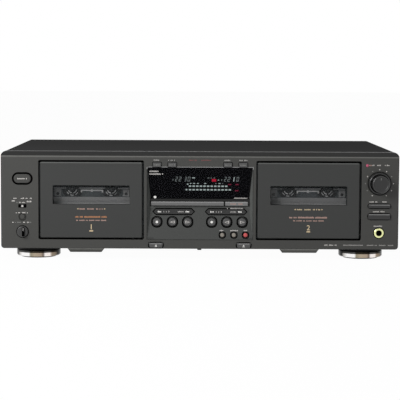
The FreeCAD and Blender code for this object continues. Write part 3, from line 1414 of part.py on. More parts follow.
def phono_sockets():
    wide = socket_body_half()
    tall = socket_body_rise()
    pieces = [
        block(SOCKET_X - wide, SOCKET_X + wide, REAR - SOCKET_BODY_DEPTH, REAR,
              SOCKET_Z - tall, SOCKET_Z + tall),
        rounded_plate(SOCKET_X - wide - 4.0, SOCKET_X + wide + 4.0,
                      SOCKET_Z - tall - 1.5, SOCKET_Z + tall + 1.5, 1.0, REAR, REAR + SOCKET_FLANGE),
    ]
    bores = []
    for dx in (-0.5, 0.5):
        for dz in (-0.5, 0.5):
            x = SOCKET_X + dx * SOCKET_PITCH_X
            z = SOCKET_Z + dz * SOCKET_PITCH_Z
            pieces.append(rod_y(x, z, SOCKET_R, REAR + SOCKET_FLANGE, REAR + SOCKET_PROUD))
            bores.append(rod_y(x, z, SOCKET_BORE_R, REAR - 4.0, REAR + SOCKET_PROUD + 1.0))
    save("phono_sockets", join(pieces).cut(bores))


def cord_gland():
    profile = [
        (GLAND_BORE_R, REAR - 6.0),
        (GLAND_R - 0.4, REAR - 6.0),
        (GLAND_R, REAR - 5.0),
        (GLAND_R, REAR),
        (GLAND_R + GLAND_FLANGE, REAR),
        (GLAND_R + GLAND_FLANGE, REAR + 2.0),
        (GLAND_R + GLAND_FLANGE - 1.5, REAR + 3.0),
        (GLAND_BORE_R, REAR + 3.0),
    ]
    save("cord_gland", turned_y(GLAND_X, GLAND_Z, profile))


def main_board():
    """The board on its bosses: a row of capacitors, a row of chips and the regulators' finned cooler."""
    x0, x1, y0, y1 = MAIN_BOARD
    z0 = CASE_BOTTOM + SHEET + BOARD_LIFT
    z1 = z0 + BOARD_THICK
    pieces = [block(x0, x1, y0, y1, z0, z1)]
    for index in range(4):
        x = x0 + BOARD_BOSS_INSET + 2 * CAPACITOR_R + CAPACITOR_PITCH * index
        pieces.append(rod_z(x, y1 - 3 * CAPACITOR_R, CAPACITOR_R, z1, z1 + CAPACITOR_HEIGHT))
    for index in range(5):
        x = x0 + CHIP_PITCH * index + CHIP_PITCH - CHIP_WIDTH
        y = y0 + 3 * CHIP_WIDTH
        pieces.append(block(x, x + CHIP_LENGTH, y, y + CHIP_WIDTH, z1, z1 + CHIP_HEIGHT))
    cooler_x = x1 - 2 * COOLER_LENGTH - COOLER_DEPTH - CAPACITOR_PITCH
    cooler_y = y1 - 2 * CAPACITOR_HEIGHT - CAPACITOR_R
    pitch = (COOLER_LENGTH - COOLER_FIN) / (COOLER_FINS - 1)
    for index in range(COOLER_FINS):
        x = cooler_x + pitch * index
        pieces.append(block(x, x + COOLER_FIN, cooler_y, cooler_y + COOLER_DEPTH, z1, z1 + COOLER_HEIGHT))
    web = cooler_y + COOLER_DEPTH / 2
    pieces.append(block(cooler_x, cooler_x + COOLER_LENGTH, web - COOLER_FIN, web + COOLER_FIN,
                        z1, z1 + COOLER_HEIGHT))
    save("main_board", join(pieces))


def power_transformer():
    """A laminated core with its winding through it, on a strap with an ear at each end."""
    x, y = TRANSFORMER
    z0 = CASE_BOTTOM + SHEET
    core = block(x - CORE_WIDTH / 2, x + CORE_WIDTH / 2, y - CORE_DEPTH / 2, y + CORE_DEPTH / 2,
                 z0, z0 + CORE_HEIGHT)
    core = core.makeChamfer(1.5, [edge for edge in core.Edges if edge.BoundBox.YLength > CORE_DEPTH / 2])
    across = WINDING_WIDTH / 2
    along = WINDING_DEPTH / 2
    outline = [(x - across, y - along, 6.0), (x + across, y - along, 6.0), (x + across, y + along, 6.0),
               (x - across, y + along, 6.0)]
    winding = prism_z(outline, z0 + WINDING_MARGIN, z0 + CORE_HEIGHT - WINDING_MARGIN)
    strap = block(x - MOUNT_LENGTH / 2, x + MOUNT_LENGTH / 2, y - MOUNT_WIDTH / 2, y + MOUNT_WIDTH / 2, z0,
                  z0 + MOUNT_THICK)
    save("power_transformer", join([core, winding, strap]))


def foot_places():
    return [(x, y) for x in (-FOOT_X, FOOT_X) for y in (FOOT_FRONT_Y, FOOT_REAR_Y)]


def feet():
    """Moulded feet under a band, and a bright ring round each foot's core."""
    cores = []
    rings = []
    band = FOOT_HEIGHT - FOOT_BAND
    for x, y in foot_places():
        core = [
            (0.0, 0.0, 0),
            (FOOT_CORE_R - 1.0, 0.0, 0),
            (FOOT_CORE_R, 1.0, 0),
            (FOOT_CORE_R, band, 0),
            (FOOT_R, band, 0.8),
            (FOOT_R, FOOT_HEIGHT, 0),
            (0.0, FOOT_HEIGHT, 0),
        ]
        ring = [
            (FOOT_CORE_R + SEAT_GAP, RING_LIFT, 0.5),
            (FOOT_RING_R - 0.9, RING_LIFT, 0.4),
            (FOOT_RING_R, RING_LIFT + 1.2, 0.6),
            (FOOT_RING_R, band, 0.5),
            (FOOT_CORE_R + SEAT_GAP, band, 0),
        ]
        cores.append(turned_z(x, y, core))
        rings.append(turned_z(x, y, ring))
    save("feet", Part.makeCompound(cores))
    save("foot_rings", Part.makeCompound(rings))


def main():
    os.makedirs("parts", exist_ok=True)
    front_panel()
    centre_console()
    display_window()
    control_boards()
    console_keys()
    rockers()
    bar_keys()
    eject_keys()
    power_button()
    timer_switch()
    pitch_key()
    pitch_knob()
    level_knob()
    record_lamp()
    phones_jack()
    for side, centre in well_centres():
        door(side, centre)
        cassette_holder(side, centre)
        mechanism_frame(side, centre)
        head_bridge(side, centre)
        for which, (x, z) in zip(("supply", "takeup"), reel_places(centre)):
            reel_table(side + "_" + which + "_reel", x, z)
        for which, (x, z) in zip(("reverse", "forward"), capstan_places(centre)):
            capstan(side + "_" + which + "_capstan", x, z)
    drive_motors()
    top_cover()
    bottom_chassis()
    rear_panel()
    phono_sockets()
    cord_gland()
    main_board()
    power_transformer()
    feet()


main()
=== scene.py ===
import math
from functools import partial, reduce

import bpy
import numpy as np
from mathutils import Matrix, Vector


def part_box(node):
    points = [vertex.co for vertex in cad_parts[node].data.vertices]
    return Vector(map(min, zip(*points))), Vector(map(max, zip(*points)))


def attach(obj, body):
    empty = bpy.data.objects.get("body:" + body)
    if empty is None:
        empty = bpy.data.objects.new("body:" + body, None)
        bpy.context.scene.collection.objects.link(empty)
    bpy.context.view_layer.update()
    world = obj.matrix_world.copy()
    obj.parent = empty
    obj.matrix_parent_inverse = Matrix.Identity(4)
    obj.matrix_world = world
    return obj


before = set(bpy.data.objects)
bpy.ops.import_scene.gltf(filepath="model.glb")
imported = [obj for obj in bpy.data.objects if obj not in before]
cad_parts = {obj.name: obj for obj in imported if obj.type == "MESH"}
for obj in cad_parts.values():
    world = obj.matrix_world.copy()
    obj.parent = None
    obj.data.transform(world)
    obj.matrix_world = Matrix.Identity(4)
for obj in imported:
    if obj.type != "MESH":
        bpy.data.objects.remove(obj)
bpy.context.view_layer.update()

bl_info = {
    "name": "Cassette Duplicator",
    "version": (1, 0, 0),
    "blender": (4, 5, 0),
    "location": "View3D > Sidebar > Cassette Duplicator",
    "description": "Finishes, printed marks, display and fittings of a dual-well cassette deck",
    "category": "Object",
}

MM = 0.001


def corner_mm(node):
    """The lowest and highest corner of a node, in millimetres."""
    low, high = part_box(node)
    return np.array(low) / MM, np.array(high) / MM


# Places that the fittings are set from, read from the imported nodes

FRONT = corner_mm("left_door")[0][1]
REAR = corner_mm("rear_panel")[1][1]
GLASS_LOW, GLASS_HIGH = corner_mm("display_window")
GLASS_THICK = 1.8
CONSOLE_LIP = 0.6
CONSOLE_FOOT = corner_mm("centre_console")[0][2] + CONSOLE_LIP
VALLEY_DEPTH = GLASS_HIGH[1] - GLASS_THICK - FRONT
VALLEY_FOOT = 56.0
PRINT_THICK = 0.05
PRINT_LIFT = 0.04
LINE_LIFT = 0.02
SIDES = ("left", "right")
ROUND_KEYS = ("stop", "reverse", "play")
TOP_KEYS = ("counter_reset_button", "display_mode_button", "counter_memory_button", "auto_space_button")
SIDE_BARS = ("noise_reduction_button", "relay_play_button")


def flat_at(y):
    """A surface of constant y."""
    return lambda x, z: np.full(np.shape(x), y, float)


def console_face(x, z):
    """y of the console's lower face: it leans back in a straight line from its bottom lip to the valley."""
    return FRONT + VALLEY_DEPTH * (z - CONSOLE_FOOT) / (VALLEY_FOOT - CONSOLE_FOOT) + 0.0 * x


def glass_face(x, z):
    """y of the display window's front: it leans back in a straight line from its top edge to its foot."""
    return GLASS_LOW[1] + VALLEY_DEPTH * (GLASS_HIGH[2] - z) / (GLASS_HIGH[2] - GLASS_LOW[2]) + 0.0 * x


# Mesh forms

def new_object(name, data):
    """An object of some data, linked into the scene."""
    holder = bpy.data.objects.new(name, data)
    bpy.context.scene.collection.objects.link(holder)
    return holder


def seat_piece(name, mesh, body):
    """An object of a finished mesh, riding on a body of the frame."""
    piece = new_object(name, mesh)
    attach(piece, body)


def put_mesh(name, verts, faces, finish, body, slot, smooth=False):
    """A mesh object from corners in millimetres and blocks of faces, riding on a body of the frame."""
    mesh = bpy.data.meshes.new(name)
    rows = [face for block in faces for face in np.asarray(block).tolist()]
    mesh.from_pydata((np.asarray(verts) * MM).tolist(), [], rows)
    mesh.validate()
    mesh.materials.append(bpy.data.materials[finish])
    if smooth:
        mesh.shade_smooth()
        mesh.set_sharp_from_angle(angle=math.radians(35.0))
    seat_piece(name, mesh, body)


def prisms(outlines, front, back):
    """Closed prisms: outlines in (x, z), counter-clockwise from the front, from y = front to y = back."""
    outlines = np.asarray(outlines, float)
    count, corners = outlines.shape[:2]
    x, z = outlines[..., 0], outlines[..., 1]
    near = np.stack([x, front(x, z), z], -1)
    far = np.stack([x, back(x, z), z], -1)
    verts = np.concatenate([near, far], 1).reshape(-1, 3)
    start = (np.arange(count) * 2 * corners)[:, None]
    ring = np.arange(corners)
    ahead = np.roll(ring, -1)
    near_caps = start + ring
    far_caps = start + corners + ring[::-1]
    walls = np.stack([ring, ring + corners, ahead + corners, ahead], -1)
    walls = (start[:, :, None] + walls).reshape(-1, 4)
    return verts, [near_caps, far_caps, walls]


def rims(outer, inner, front, back):
    """Closed flat rings: the band between an outer and an inner outline, from y = front to y = back."""
    outer, inner = np.asarray(outer, float), np.asarray(inner, float)
    count, corners = outer.shape[:2]
    rows = []
    for outline, depth in ((outer, front), (inner, front), (inner, back), (outer, back)):
        x, z = outline[..., 0], outline[..., 1]
        rows.append(np.stack([x, depth(x, z), z], -1))
    verts = np.stack(rows, 1).reshape(-1, 3)
    start = (np.arange(count) * 4 * corners)[:, None]
    ring = np.arange(corners)
    ahead = np.roll(ring, -1)
    faces = []
    for row in range(4):
        here = row * corners
        there = (row + 1) % 4 * corners
        quads = np.stack([ring + here, ahead + here, ahead + there, ring + there], -1)
        faces.append((start[:, :, None] + quads).reshape(-1, 4))
    return verts, faces


def gather(forms):
    """Several (verts, faces) as one."""
    verts, faces, start = [], [], 0
    for points, blocks in forms:
        verts.append(points)
        faces += [np.asarray(block) + start for block in blocks]
        start += len(points)
    return np.concatenate(verts), faces


def turned(profile, centre, steps):
    """A profile of (radius, y) rows, from its rearmost to its foremost, turned about an axis along Y."""
    profile = np.asarray(profile, float)
    angle = np.linspace(0.0, 2.0 * math.pi, steps, endpoint=False)
    x = centre[0] + profile[:, :1] * np.cos(angle)
    z = centre[1] + profile[:, :1] * np.sin(angle)
    y = profile[:, 1:] + np.zeros_like(x)
    ring = np.arange(steps)
    start = np.arange(len(profile) - 1)[:, None] * steps
    here = start + ring
    ahead = start + np.roll(ring, -1)
    quads = np.stack([here, ahead, ahead + steps, here + steps], -1).reshape(-1, 4)
    caps = [ring[None, ::-1], ring[None] + (len(profile) - 1) * steps]
    return np.stack([x, y, z], -1).reshape(-1, 3), [quads] + caps


def ring_turned(profile, centre, steps):
    """A closed profile of (radius, y) rows turned about an axis along Y, so the form is a ring."""
    verts, faces = turned(profile, centre, steps)
    here = np.arange(steps)
    ahead = np.roll(here, -1)
    last = (len(profile) - 1) * steps
    closing = np.stack([here + last, ahead + last, ahead, here], -1)
    return verts, [faces[0], closing]


def boxes(places):
    """Closed boxes from rows of x0, x1, y0, y1, z0, z1."""
    places = np.asarray(places, float)
    outlines = places[:, [0, 4, 1, 4, 1, 5, 0, 5]].reshape(-1, 4, 2)
    forms = [
        prisms(outline[None], flat_at(row[2]), flat_at(row[3]))
        for outline, row in zip(outlines, places)
    ]
    return gather(forms)


# Flat outlines, as rows of (x, z)

def bar(x0, x1, z0, z1, lean=0.0):
    """A rectangle, its top moved sideways by lean."""
    return np.array([[x0, z0], [x1, z0], [x1 + lean, z1], [x0 + lean, z1]])


def disc(x, z, radius, corners=20):
    """A regular polygon that stands for a round spot."""
    angle = np.linspace(0.0, 2.0 * math.pi, corners, endpoint=False)
    return np.stack([x + radius * np.cos(angle), z + radius * np.sin(angle)], -1)


def arrow(x, z, length, height, way):
    """A triangle that points right for way = 1 and left for way = -1."""
    half = length / 2 * way
    corners = np.array([[x - half, z - height / 2], [x + half, z], [x - half, z + height / 2]])
    return corners if way > 0 else corners[::-1]


def shrunk(outline, share):
    """An outline drawn in towards its own middle."""
    middle = outline.mean(0)
    return middle + (outline - middle) * share


LETTER_SKIP = 0.12
LETTER_WIDTH = 0.68
LETTER_LOWEST = 0.72


def label(x0, x1, z, height, letter, seed):
    """A row of small upright blocks that reads as fine print from a step away."""
    draw = np.random.default_rng(seed)
    count = max(2, int((x1 - x0) / letter))
    edges = np.linspace(x0, x1, count + 1)
    keep = draw.random(count) > LETTER_SKIP
    foot = z - height / 2
    tops = foot + height * draw.uniform(LETTER_LOWEST, 1.0, count)
    return [
        bar(start, start + (stop - start) * LETTER_WIDTH, foot, top)
        for start, stop, top, shown in zip(edges[:-1], edges[1:], tops, keep) if shown
    ]


SEGMENTS = {"0": "abcdef", "2": "abged", "3": "abgcd"}
DIGIT_LEAN = 0.16
SEGMENT_GAP = 0.35


def digit(sign, x, z, width, height, stroke):
    """One seven-stroke digit with its foot at (x, z), leaning to the right."""
    mid = height / 2
    gap = stroke * SEGMENT_GAP
    bars = {
        "a": (gap, width - gap, height - stroke, height),
        "d": (gap, width - gap, 0.0, stroke),
        "g": (gap, width - gap, mid - stroke / 2, mid + stroke / 2),
        "f": (0.0, stroke, mid + gap, height - gap),
        "e": (0.0, stroke, gap, mid - gap),
        "b": (width - stroke, width, mid + gap, height - gap),
        "c": (width - stroke, width, gap, mid - gap),
    }
    rows = []
    for name in SEGMENTS[sign]:
        left, right, low, high = bars[name]
        shift = x + low * DIGIT_LEAN
        rows.append(bar(shift + left, shift + right, z + low, z + high, (high - low) * DIGIT_LEAN))
    return rows


# Effects shared by several finishes

DARK = (0.1, 0.1, 0.1, 1.0)
SOCKET_KINDS = {1: "NodeSocketFloat", 3: "NodeSocketVector", 4: "NodeSocketColor"}


def new_group(name, inputs, outputs=("Colour",)):
    """An empty shader group: its tree, its inputs by name, as values, vectors or colours, and its outputs."""
    tree = bpy.data.node_groups.new(name, "ShaderNodeTree")
    for key, value in inputs.items():
        socket = tree.interface.new_socket(key, in_out="INPUT", socket_type=SOCKET_KINDS[np.size(value)])
        socket.default_value = value
    for key in outputs:
        kind = SOCKET_KINDS[4 if key == "Colour" else 1]
        tree.interface.new_socket(key, in_out="OUTPUT", socket_type=kind)
    return tree, tree.nodes.new("NodeGroupInput").outputs, tree.nodes.new("NodeGroupOutput").inputs


def place_node(tree):
    """The place of a point of the surface in the object's frame."""
    return tree.nodes.new("ShaderNodeTexCoord").outputs["Object"]


def place_parts(tree):
    """The same place as its X, Y and Z."""
    node = tree.nodes.new("ShaderNodeSeparateXYZ")
    tree.links.new(place_node(tree), node.inputs[0])
    return node.outputs


def noise_node(tree, vector, scale, detail, rough=0.5):
    """A noise texture read at a vector; scale is a number or a socket."""
    node = tree.nodes.new("ShaderNodeTexNoise")
    node.inputs["Detail"].default_value = detail
    node.inputs["Roughness"].default_value = rough
    tree.links.new(vector, node.inputs["Vector"])
    if isinstance(scale, (int, float)):
        node.inputs["Scale"].default_value = scale
    else:
        tree.links.new(scale, node.inputs["Scale"])
    return node.outputs["Fac"]


def math_node(tree, kind, first, second=None, third=None):
    """One arithmetic step on sockets or numbers."""
    node = tree.nodes.new("ShaderNodeMath")
    node.operation = kind
    for socket, value in zip(node.inputs, (first, second, third)):
        if isinstance(value, (int, float)):
            socket.default_value = value
        elif value is not None:
            tree.links.new(value, socket)
    return node.outputs[0]


def shade_node(tree, colour, amount):
    """A colour made lighter or darker by a factor."""
    node = tree.nodes.new("ShaderNodeVectorMath")
    node.operation = "SCALE"
    tree.links.new(colour, node.inputs[0])
    tree.links.new(amount, node.inputs["Scale"])
    return node.outputs[0]


def blend_node(tree, mask, first, second):
    """A mix of two colours by a mask."""
    node = tree.nodes.new("ShaderNodeMix")
    node.data_type = "RGBA"
    for socket, value in ((node.inputs["Factor"], mask), (node.inputs[6], first), (node.inputs[7], second)):
        if isinstance(value, (int, float, tuple)):
            socket.default_value = value
        else:
            tree.links.new(value, socket)
    return node.outputs[2]


def all_of(tree, tests):
    """1 where every test is 1."""
    return reduce(partial(math_node, tree, "MULTIPLY"), tests)


def send_skin(tree, give, colour, factor, gloss, height):
    """Leads a shaded colour, a gloss and a relief out of a group."""
    tree.links.new(shade_node(tree, colour, factor), give["Colour"])
    tree.links.new(gloss, give["Roughness"])
    tree.links.new(height, give["Height"])


def send_gained(tree, give, colour, inside, gain):
    """Leads out a colour that is multiplied by a gain inside a mask."""
    factor = math_node(tree, "MULTIPLY_ADD", inside, math_node(tree, "SUBTRACT", gain, 1.0), 1.0)
    tree.links.new(shade_node(tree, colour, factor), give["Colour"])


SKIN_OUTPUTS = ("Colour", "Roughness", "Height")
PATCHES_PER_METRE = 9.0
SPECKS_PER_METRE = 700.0
CLOUDS_PER_METRE = 30.0


def moulded_grain():
    """Spark-eroded skin of a moulding: a fine even pebble, faint flow patches and uneven gloss."""
    tree, take, give = new_group(
        "Moulded grain",
        {"Colour": DARK, "Pebbles per metre": 2200.0, "Shade spread": 0.08, "Gloss": 0.45,
         "Gloss spread": 0.08},
        SKIN_OUTPUTS)
    calc = partial(math_node, tree)
    place = place_node(tree)
    pebble = noise_node(tree, place, take["Pebbles per metre"], 2.0, 0.6)
    patch = noise_node(tree, place, PATCHES_PER_METRE, 3.0)
    speck = noise_node(tree, place, SPECKS_PER_METRE, 2.0)
    both = calc("MULTIPLY_ADD", speck, 0.5, calc("MULTIPLY", patch, 0.5))
    swing = calc("MULTIPLY", calc("SUBTRACT", both, 0.5), take["Shade spread"])
    factor = calc("MULTIPLY_ADD", swing, 2.0, 1.0)
    gloss = calc("MULTIPLY_ADD", calc("SUBTRACT", patch, 0.5), take["Gloss spread"], take["Gloss"])
    send_skin(tree, give, take["Colour"], factor, gloss, pebble)


def drawn_lines():
    """Fine parallel lines that rolling, turning or brushing leaves in metal; the stretch sets their way."""
    tree, take, give = new_group(
        "Drawn lines",
        {"Colour": (0.5, 0.5, 0.5, 1.0), "Stretch": (20.0, 900.0, 900.0), "Shade spread": 0.2, "Gloss": 0.35,
         "Gloss spread": 0.2},
        SKIN_OUTPUTS)
    calc = partial(math_node, tree)
    place = place_node(tree)
    stretch = tree.nodes.new("ShaderNodeVectorMath")
    stretch.operation = "MULTIPLY"
    tree.links.new(place, stretch.inputs[0])
    tree.links.new(take["Stretch"], stretch.inputs[1])
    line = noise_node(tree, stretch.outputs[0], 1.0, 3.0, 0.6)
    cloud = noise_node(tree, place, CLOUDS_PER_METRE, 3.0)
    swing = calc("SUBTRACT", calc("MULTIPLY_ADD", line, 0.7, calc("MULTIPLY", cloud, 0.3)), 0.5)
    factor = calc("MULTIPLY_ADD", swing, take["Shade spread"], 1.0)
    gloss = calc("MULTIPLY_ADD", swing, take["Gloss spread"], take["Gloss"])
    send_skin(tree, give, take["Colour"], factor, gloss, line)


def painted_shading_band():
    """Painted light and shade: multiplies a colour by a gain between two heights, a gain over 1 for a painted
    highlight along a pressed or rounded edge, a gain under 1 for painted shade.
    """
    tree, take, give = new_group("Painted shading band", {"Colour": DARK, "Low": 0.0, "High": 1.0, "Gain": 1.0})
    calc = partial(math_node, tree)
    z = place_parts(tree)["Z"]
    inside = all_of(tree, [calc("GREATER_THAN", z, take["Low"]), calc("LESS_THAN", z, take["High"])])
    send_gained(tree, give, take["Colour"], inside, take["Gain"])


def deep_shade():
    """Painted shade in gaps and recesses: darkens what lies behind a leaning plane within a band of widths
    and heights; a gain over 1 paints light there instead.
    """
    tree, take, give = new_group(
        "Deep shade",
        {"Colour": DARK, "Plane": -0.13, "Lean": 0.0, "Foot": 0.0, "Inner": -1.0, "Outer": 1.0, "Low": 0.0,
         "High": 1.0, "Shade": 0.06})
    calc = partial(math_node, tree)
    place = place_parts(tree)
    plane = calc("MULTIPLY_ADD", calc("SUBTRACT", place["Z"], take["Foot"]), take["Lean"], take["Plane"])
    side = calc("ABSOLUTE", place["X"])
    inside = all_of(tree, [
        calc("GREATER_THAN", place["Y"], plane),
        calc("GREATER_THAN", side, take["Inner"]),
        calc("LESS_THAN", side, take["Outer"]),
        calc("GREATER_THAN", place["Z"], take["Low"]),
        calc("LESS_THAN", place["Z"], take["High"]),
    ])
    send_gained(tree, give, take["Colour"], inside, take["Shade"])


# Painted reflections of the foot rings: dark at each ring's ends, with white, tan and pale stripes between.
RING_EDGE_REFLECTION = (0.012, 0.012, 0.011)
RING_REFLECTION_STRIPES = (
    (0.06, RING_EDGE_REFLECTION), (0.10, (0.55, 0.53, 0.50)), (0.16, (0.95, 0.94, 0.93)), (0.32, (0.95, 0.94, 0.93)),
    (0.36, (0.28, 0.25, 0.18)), (0.45, (0.42, 0.35, 0.26)), (0.60, (0.38, 0.30, 0.23)),
    (0.65, (0.14, 0.11, 0.09)), (0.69, (0.92, 0.86, 0.83)), (0.79, (0.92, 0.85, 0.80)),
    (0.83, (0.30, 0.24, 0.18)), (0.91, (0.20, 0.16, 0.12)), (0.95, RING_EDGE_REFLECTION),
)


def painted_ring_reflections():
    """Painted reflections on a spun metal ring: light and dark stripes laid over the feet by the distance
    from each axis.
    """
    tree, take, give = new_group("Painted ring reflections", {"Reach": 0.024, "Axis": 0.1775})
    calc = partial(math_node, tree)
    x = place_parts(tree)["X"]
    axis = calc("MULTIPLY", calc("SIGN", x), take["Axis"])
    across = calc("DIVIDE", calc("SUBTRACT", x, axis), take["Reach"])
    ramp = tree.nodes.new("ShaderNodeValToRGB")
    stops = ramp.color_ramp.elements
    stops.remove(stops[1])
    stops[0].color = (*RING_EDGE_REFLECTION, 1.0)
    for place_at, colour in RING_REFLECTION_STRIPES:
        stops.new(place_at).color = (*colour, 1.0)
    tree.links.new(calc("MULTIPLY_ADD", across, 0.5, 0.5), ramp.inputs[0])
    tree.links.new(ramp.outputs[0], give["Colour"])


# Finishes

def grey(level):
    """A neutral colour of that sRGB level from 0 to 255, as linear light."""
    share = level / 255.0
    linear = share / 12.92 if share <= 0.04045 else ((share + 0.055) / 1.055) ** 2.4
    return (linear, linear, linear)


def shader(name):
    """The tree of a new material and the node of its main shader."""
    material = bpy.data.materials.new(name)
    material.use_nodes = True
    return material.node_tree, material.node_tree.nodes["Principled BSDF"]


def set_inputs(node, **values):
    """Sets inputs of a node by name, an underscore standing for a space."""
    for key, value in values.items():
        node.inputs[key.replace("_", " ")].default_value = value


def add_group(tree, name, **values):
    """A shared effect placed in a material with its own values."""
    node = tree.nodes.new("ShaderNodeGroup")
    node.node_tree = bpy.data.node_groups[name]
    set_inputs(node, **values)
    return node


def relieve(tree, principled, height, depth, edge=0.0):
    """Relief of the surface in metres, over edges rounded by a radius in metres."""
    bump = tree.nodes.new("ShaderNodeBump")
    set_inputs(bump, Strength=1.0, Distance=depth)
    tree.links.new(height, bump.inputs["Height"])
    if edge > 0.0:
        rounding = tree.nodes.new("ShaderNodeBevel")
        rounding.samples = 4
        set_inputs(rounding, Radius=edge)
        tree.links.new(rounding.outputs[0], bump.inputs["Normal"])
    tree.links.new(bump.outputs[0], principled.inputs["Normal"])


def toned(tree, colour, tones):
    """A colour passed through shared effects in turn, each given as its name and its values."""
    for effect, values in tones:
        node = add_group(tree, effect, **values)
        tree.links.new(colour, node.inputs["Colour"])
        colour = node.outputs["Colour"]
    return colour


def wear(tree, principled, colour, skin, depth, edge=0.0):
    """Gives a shader a colour and the gloss and relief of a skin."""
    tree.links.new(colour, principled.inputs["Base Color"])
    tree.links.new(skin.outputs["Roughness"], principled.inputs["Roughness"])
    relieve(tree, principled, skin.outputs["Height"], depth, edge)


def plastic(name, colour, gloss=0.45, pebbles=2200.0, depth=0.00003, spread=0.08, edge=0.0, specular=0.3,
            coat=0.0, tones=()):
    """A moulded plastic with its eroded skin."""
    tree, principled = shader(name)
    grain = add_group(tree, "Moulded grain", Colour=(*colour, 1.0), Pebbles_per_metre=pebbles,
                      Shade_spread=spread, Gloss=gloss)
    set_inputs(principled, Specular_IOR_Level=specular, Coat_Weight=coat)
    wear(tree, principled, toned(tree, grain.outputs["Colour"], tones), grain, depth, edge)


def metal(name, colour, gloss=0.35, stretch=(20.0, 900.0, 900.0), spread=0.2, tones=()):
    """A metal with the lines of its making."""
    tree, principled = shader(name)
    lines = add_group(tree, "Drawn lines", Colour=(*colour, 1.0), Stretch=stretch, Shade_spread=spread,
                      Gloss=gloss)
    set_inputs(principled, Metallic=1.0)
    wear(tree, principled, toned(tree, lines.outputs["Colour"], tones), lines, 0.00002)


def ring_with_painted_reflections(name):
    """The bright spun ring round each foot: painted reflections as stripes and a darker painted band for the
    dark underside, under a fine turned relief.
    """
    tree, principled = shader(name)
    lines = add_group(tree, "Drawn lines", Stretch=(30.0, 30.0, 1600.0), Gloss=0.16)
    bands = add_group(tree, "Painted ring reflections").outputs["Colour"]
    set_inputs(principled, Metallic=1.0)
    wear(tree, principled, toned(tree, bands, RING_PAINTED_UNDERSIDE_REFLECTION), lines, 0.00001)


def pane(name, colour, alpha, gloss, specular):
    """A clear tinted pane that lets light through by its alpha."""
    tree, principled = shader(name)
    skin = add_group(tree, "Moulded grain", Colour=(*colour, 1.0), Pebbles_per_metre=60.0,
                     Shade_spread=0.03, Gloss=gloss, Gloss_spread=0.02).outputs
    tree.links.new(skin["Colour"], principled.inputs["Base Color"])
    tree.links.new(skin["Roughness"], principled.inputs["Roughness"])
    set_inputs(principled, Alpha=alpha, Specular_IOR_Level=specular)


def glow(name, colour, strength):
    """Lit phosphor of the display, slightly uneven."""
    tree, principled = shader(name)
    grain = add_group(tree, "Moulded grain", Colour=(*colour, 1.0), Pebbles_per_metre=1500.0,
                      Shade_spread=0.3)
    set_inputs(principled, Base_Color=(0.02, 0.02, 0.02, 1.0), Roughness=0.6, Emission_Strength=strength)
    tree.links.new(grain.outputs["Colour"], principled.inputs["Emission Color"])


def printed(name, colour):
    """Screen-printed ink: a flat thin film with a faint mottle."""
    plastic(name, colour, gloss=0.5, pebbles=4000.0, depth=0.000006, spread=0.16)


# Settings that a user would change

def colour_choice(name, description, default):
    """A colour that a user can pick."""
    return bpy.props.FloatVectorProperty(
        name=name, description=description, subtype="COLOR", size=3, default=default, min=0.0, max=1.0)


class FinishSettings(bpy.types.PropertyGroup):
    """Colours of the main mouldings and sheets."""
    panel: colour_choice("Front panel", "Colour of the front panel", (0.046, 0.046, 0.043))
    console: colour_choice("Console", "Colour of the centre console", (0.045, 0.047, 0.045))
    door: colour_choice("Doors", "Colour of both cassette doors", (0.034, 0.035, 0.034))
    cover: colour_choice("Top cover", "Colour of the painted top cover", (0.052, 0.052, 0.052))


class StageSettings(bpy.types.PropertyGroup):
    """Camera and light."""
    camera_lens: bpy.props.FloatProperty(
        name="Lens", description="Focal length of the camera in millimetres", default=134.0, min=20.0,
        max=400.0)
    key_power: bpy.props.FloatProperty(
        name="Key light", description="Power of the soft light at the upper left of the front", default=17.0,
        min=0.0, max=200.0, subtype="POWER", unit="POWER")
    room_light: bpy.props.FloatProperty(
        name="Room light", description="Strength of the even light of the room", default=0.35, min=0.0,
        max=3.0)


class MarkSettings(bpy.types.PropertyGroup):
    """Printed marks and lit signs."""
    print_colour: colour_choice("White print", "Colour of the printed marks", (0.52, 0.50, 0.48))
    door_print: colour_choice("Door print", "Colour of the warm lines on the doors", (0.42, 0.19, 0.09))
    digit_height: bpy.props.FloatProperty(
        name="Digit height", description="Height of the counter digits", default=5.1 * MM, min=0.001,
        max=0.02, subtype="DISTANCE", unit="LENGTH")
    glow_strength: bpy.props.FloatProperty(
        name="Display glow", description="Strength of the lit signs behind the window", default=1.9, min=0.0,
        max=20.0)


# The object's own pieces

CONSOLE_SLOPE = VALLEY_DEPTH / (VALLEY_FOOT - CONSOLE_FOOT)
# Painted light: the trough's side walls made lighter, between the front and the console's leaning face.
WALL_PAINTED_LIGHT_GAIN = 1.7
# Painted shade in the door openings and the top keys' recesses, a painted highlight along the rounded top
# edge, and painted shade over the top bevel.
PANEL_PAINTED_SHADING = (
    ("Deep shade", {"Plane": (FRONT + 0.25) * MM, "Inner": 0.0586, "Outer": 0.2145, "High": 0.1105}),
    ("Deep shade", {"Plane": (FRONT + 0.25) * MM, "Outer": 0.0586, "Low": 0.1012, "High": 0.1085}),
    ("Painted shading band", {"Low": 0.1112, "High": 0.1124, "Gain": 2.4}),
    ("Painted shading band", {"Low": 0.1124, "High": 0.2, "Gain": 0.12}),
)
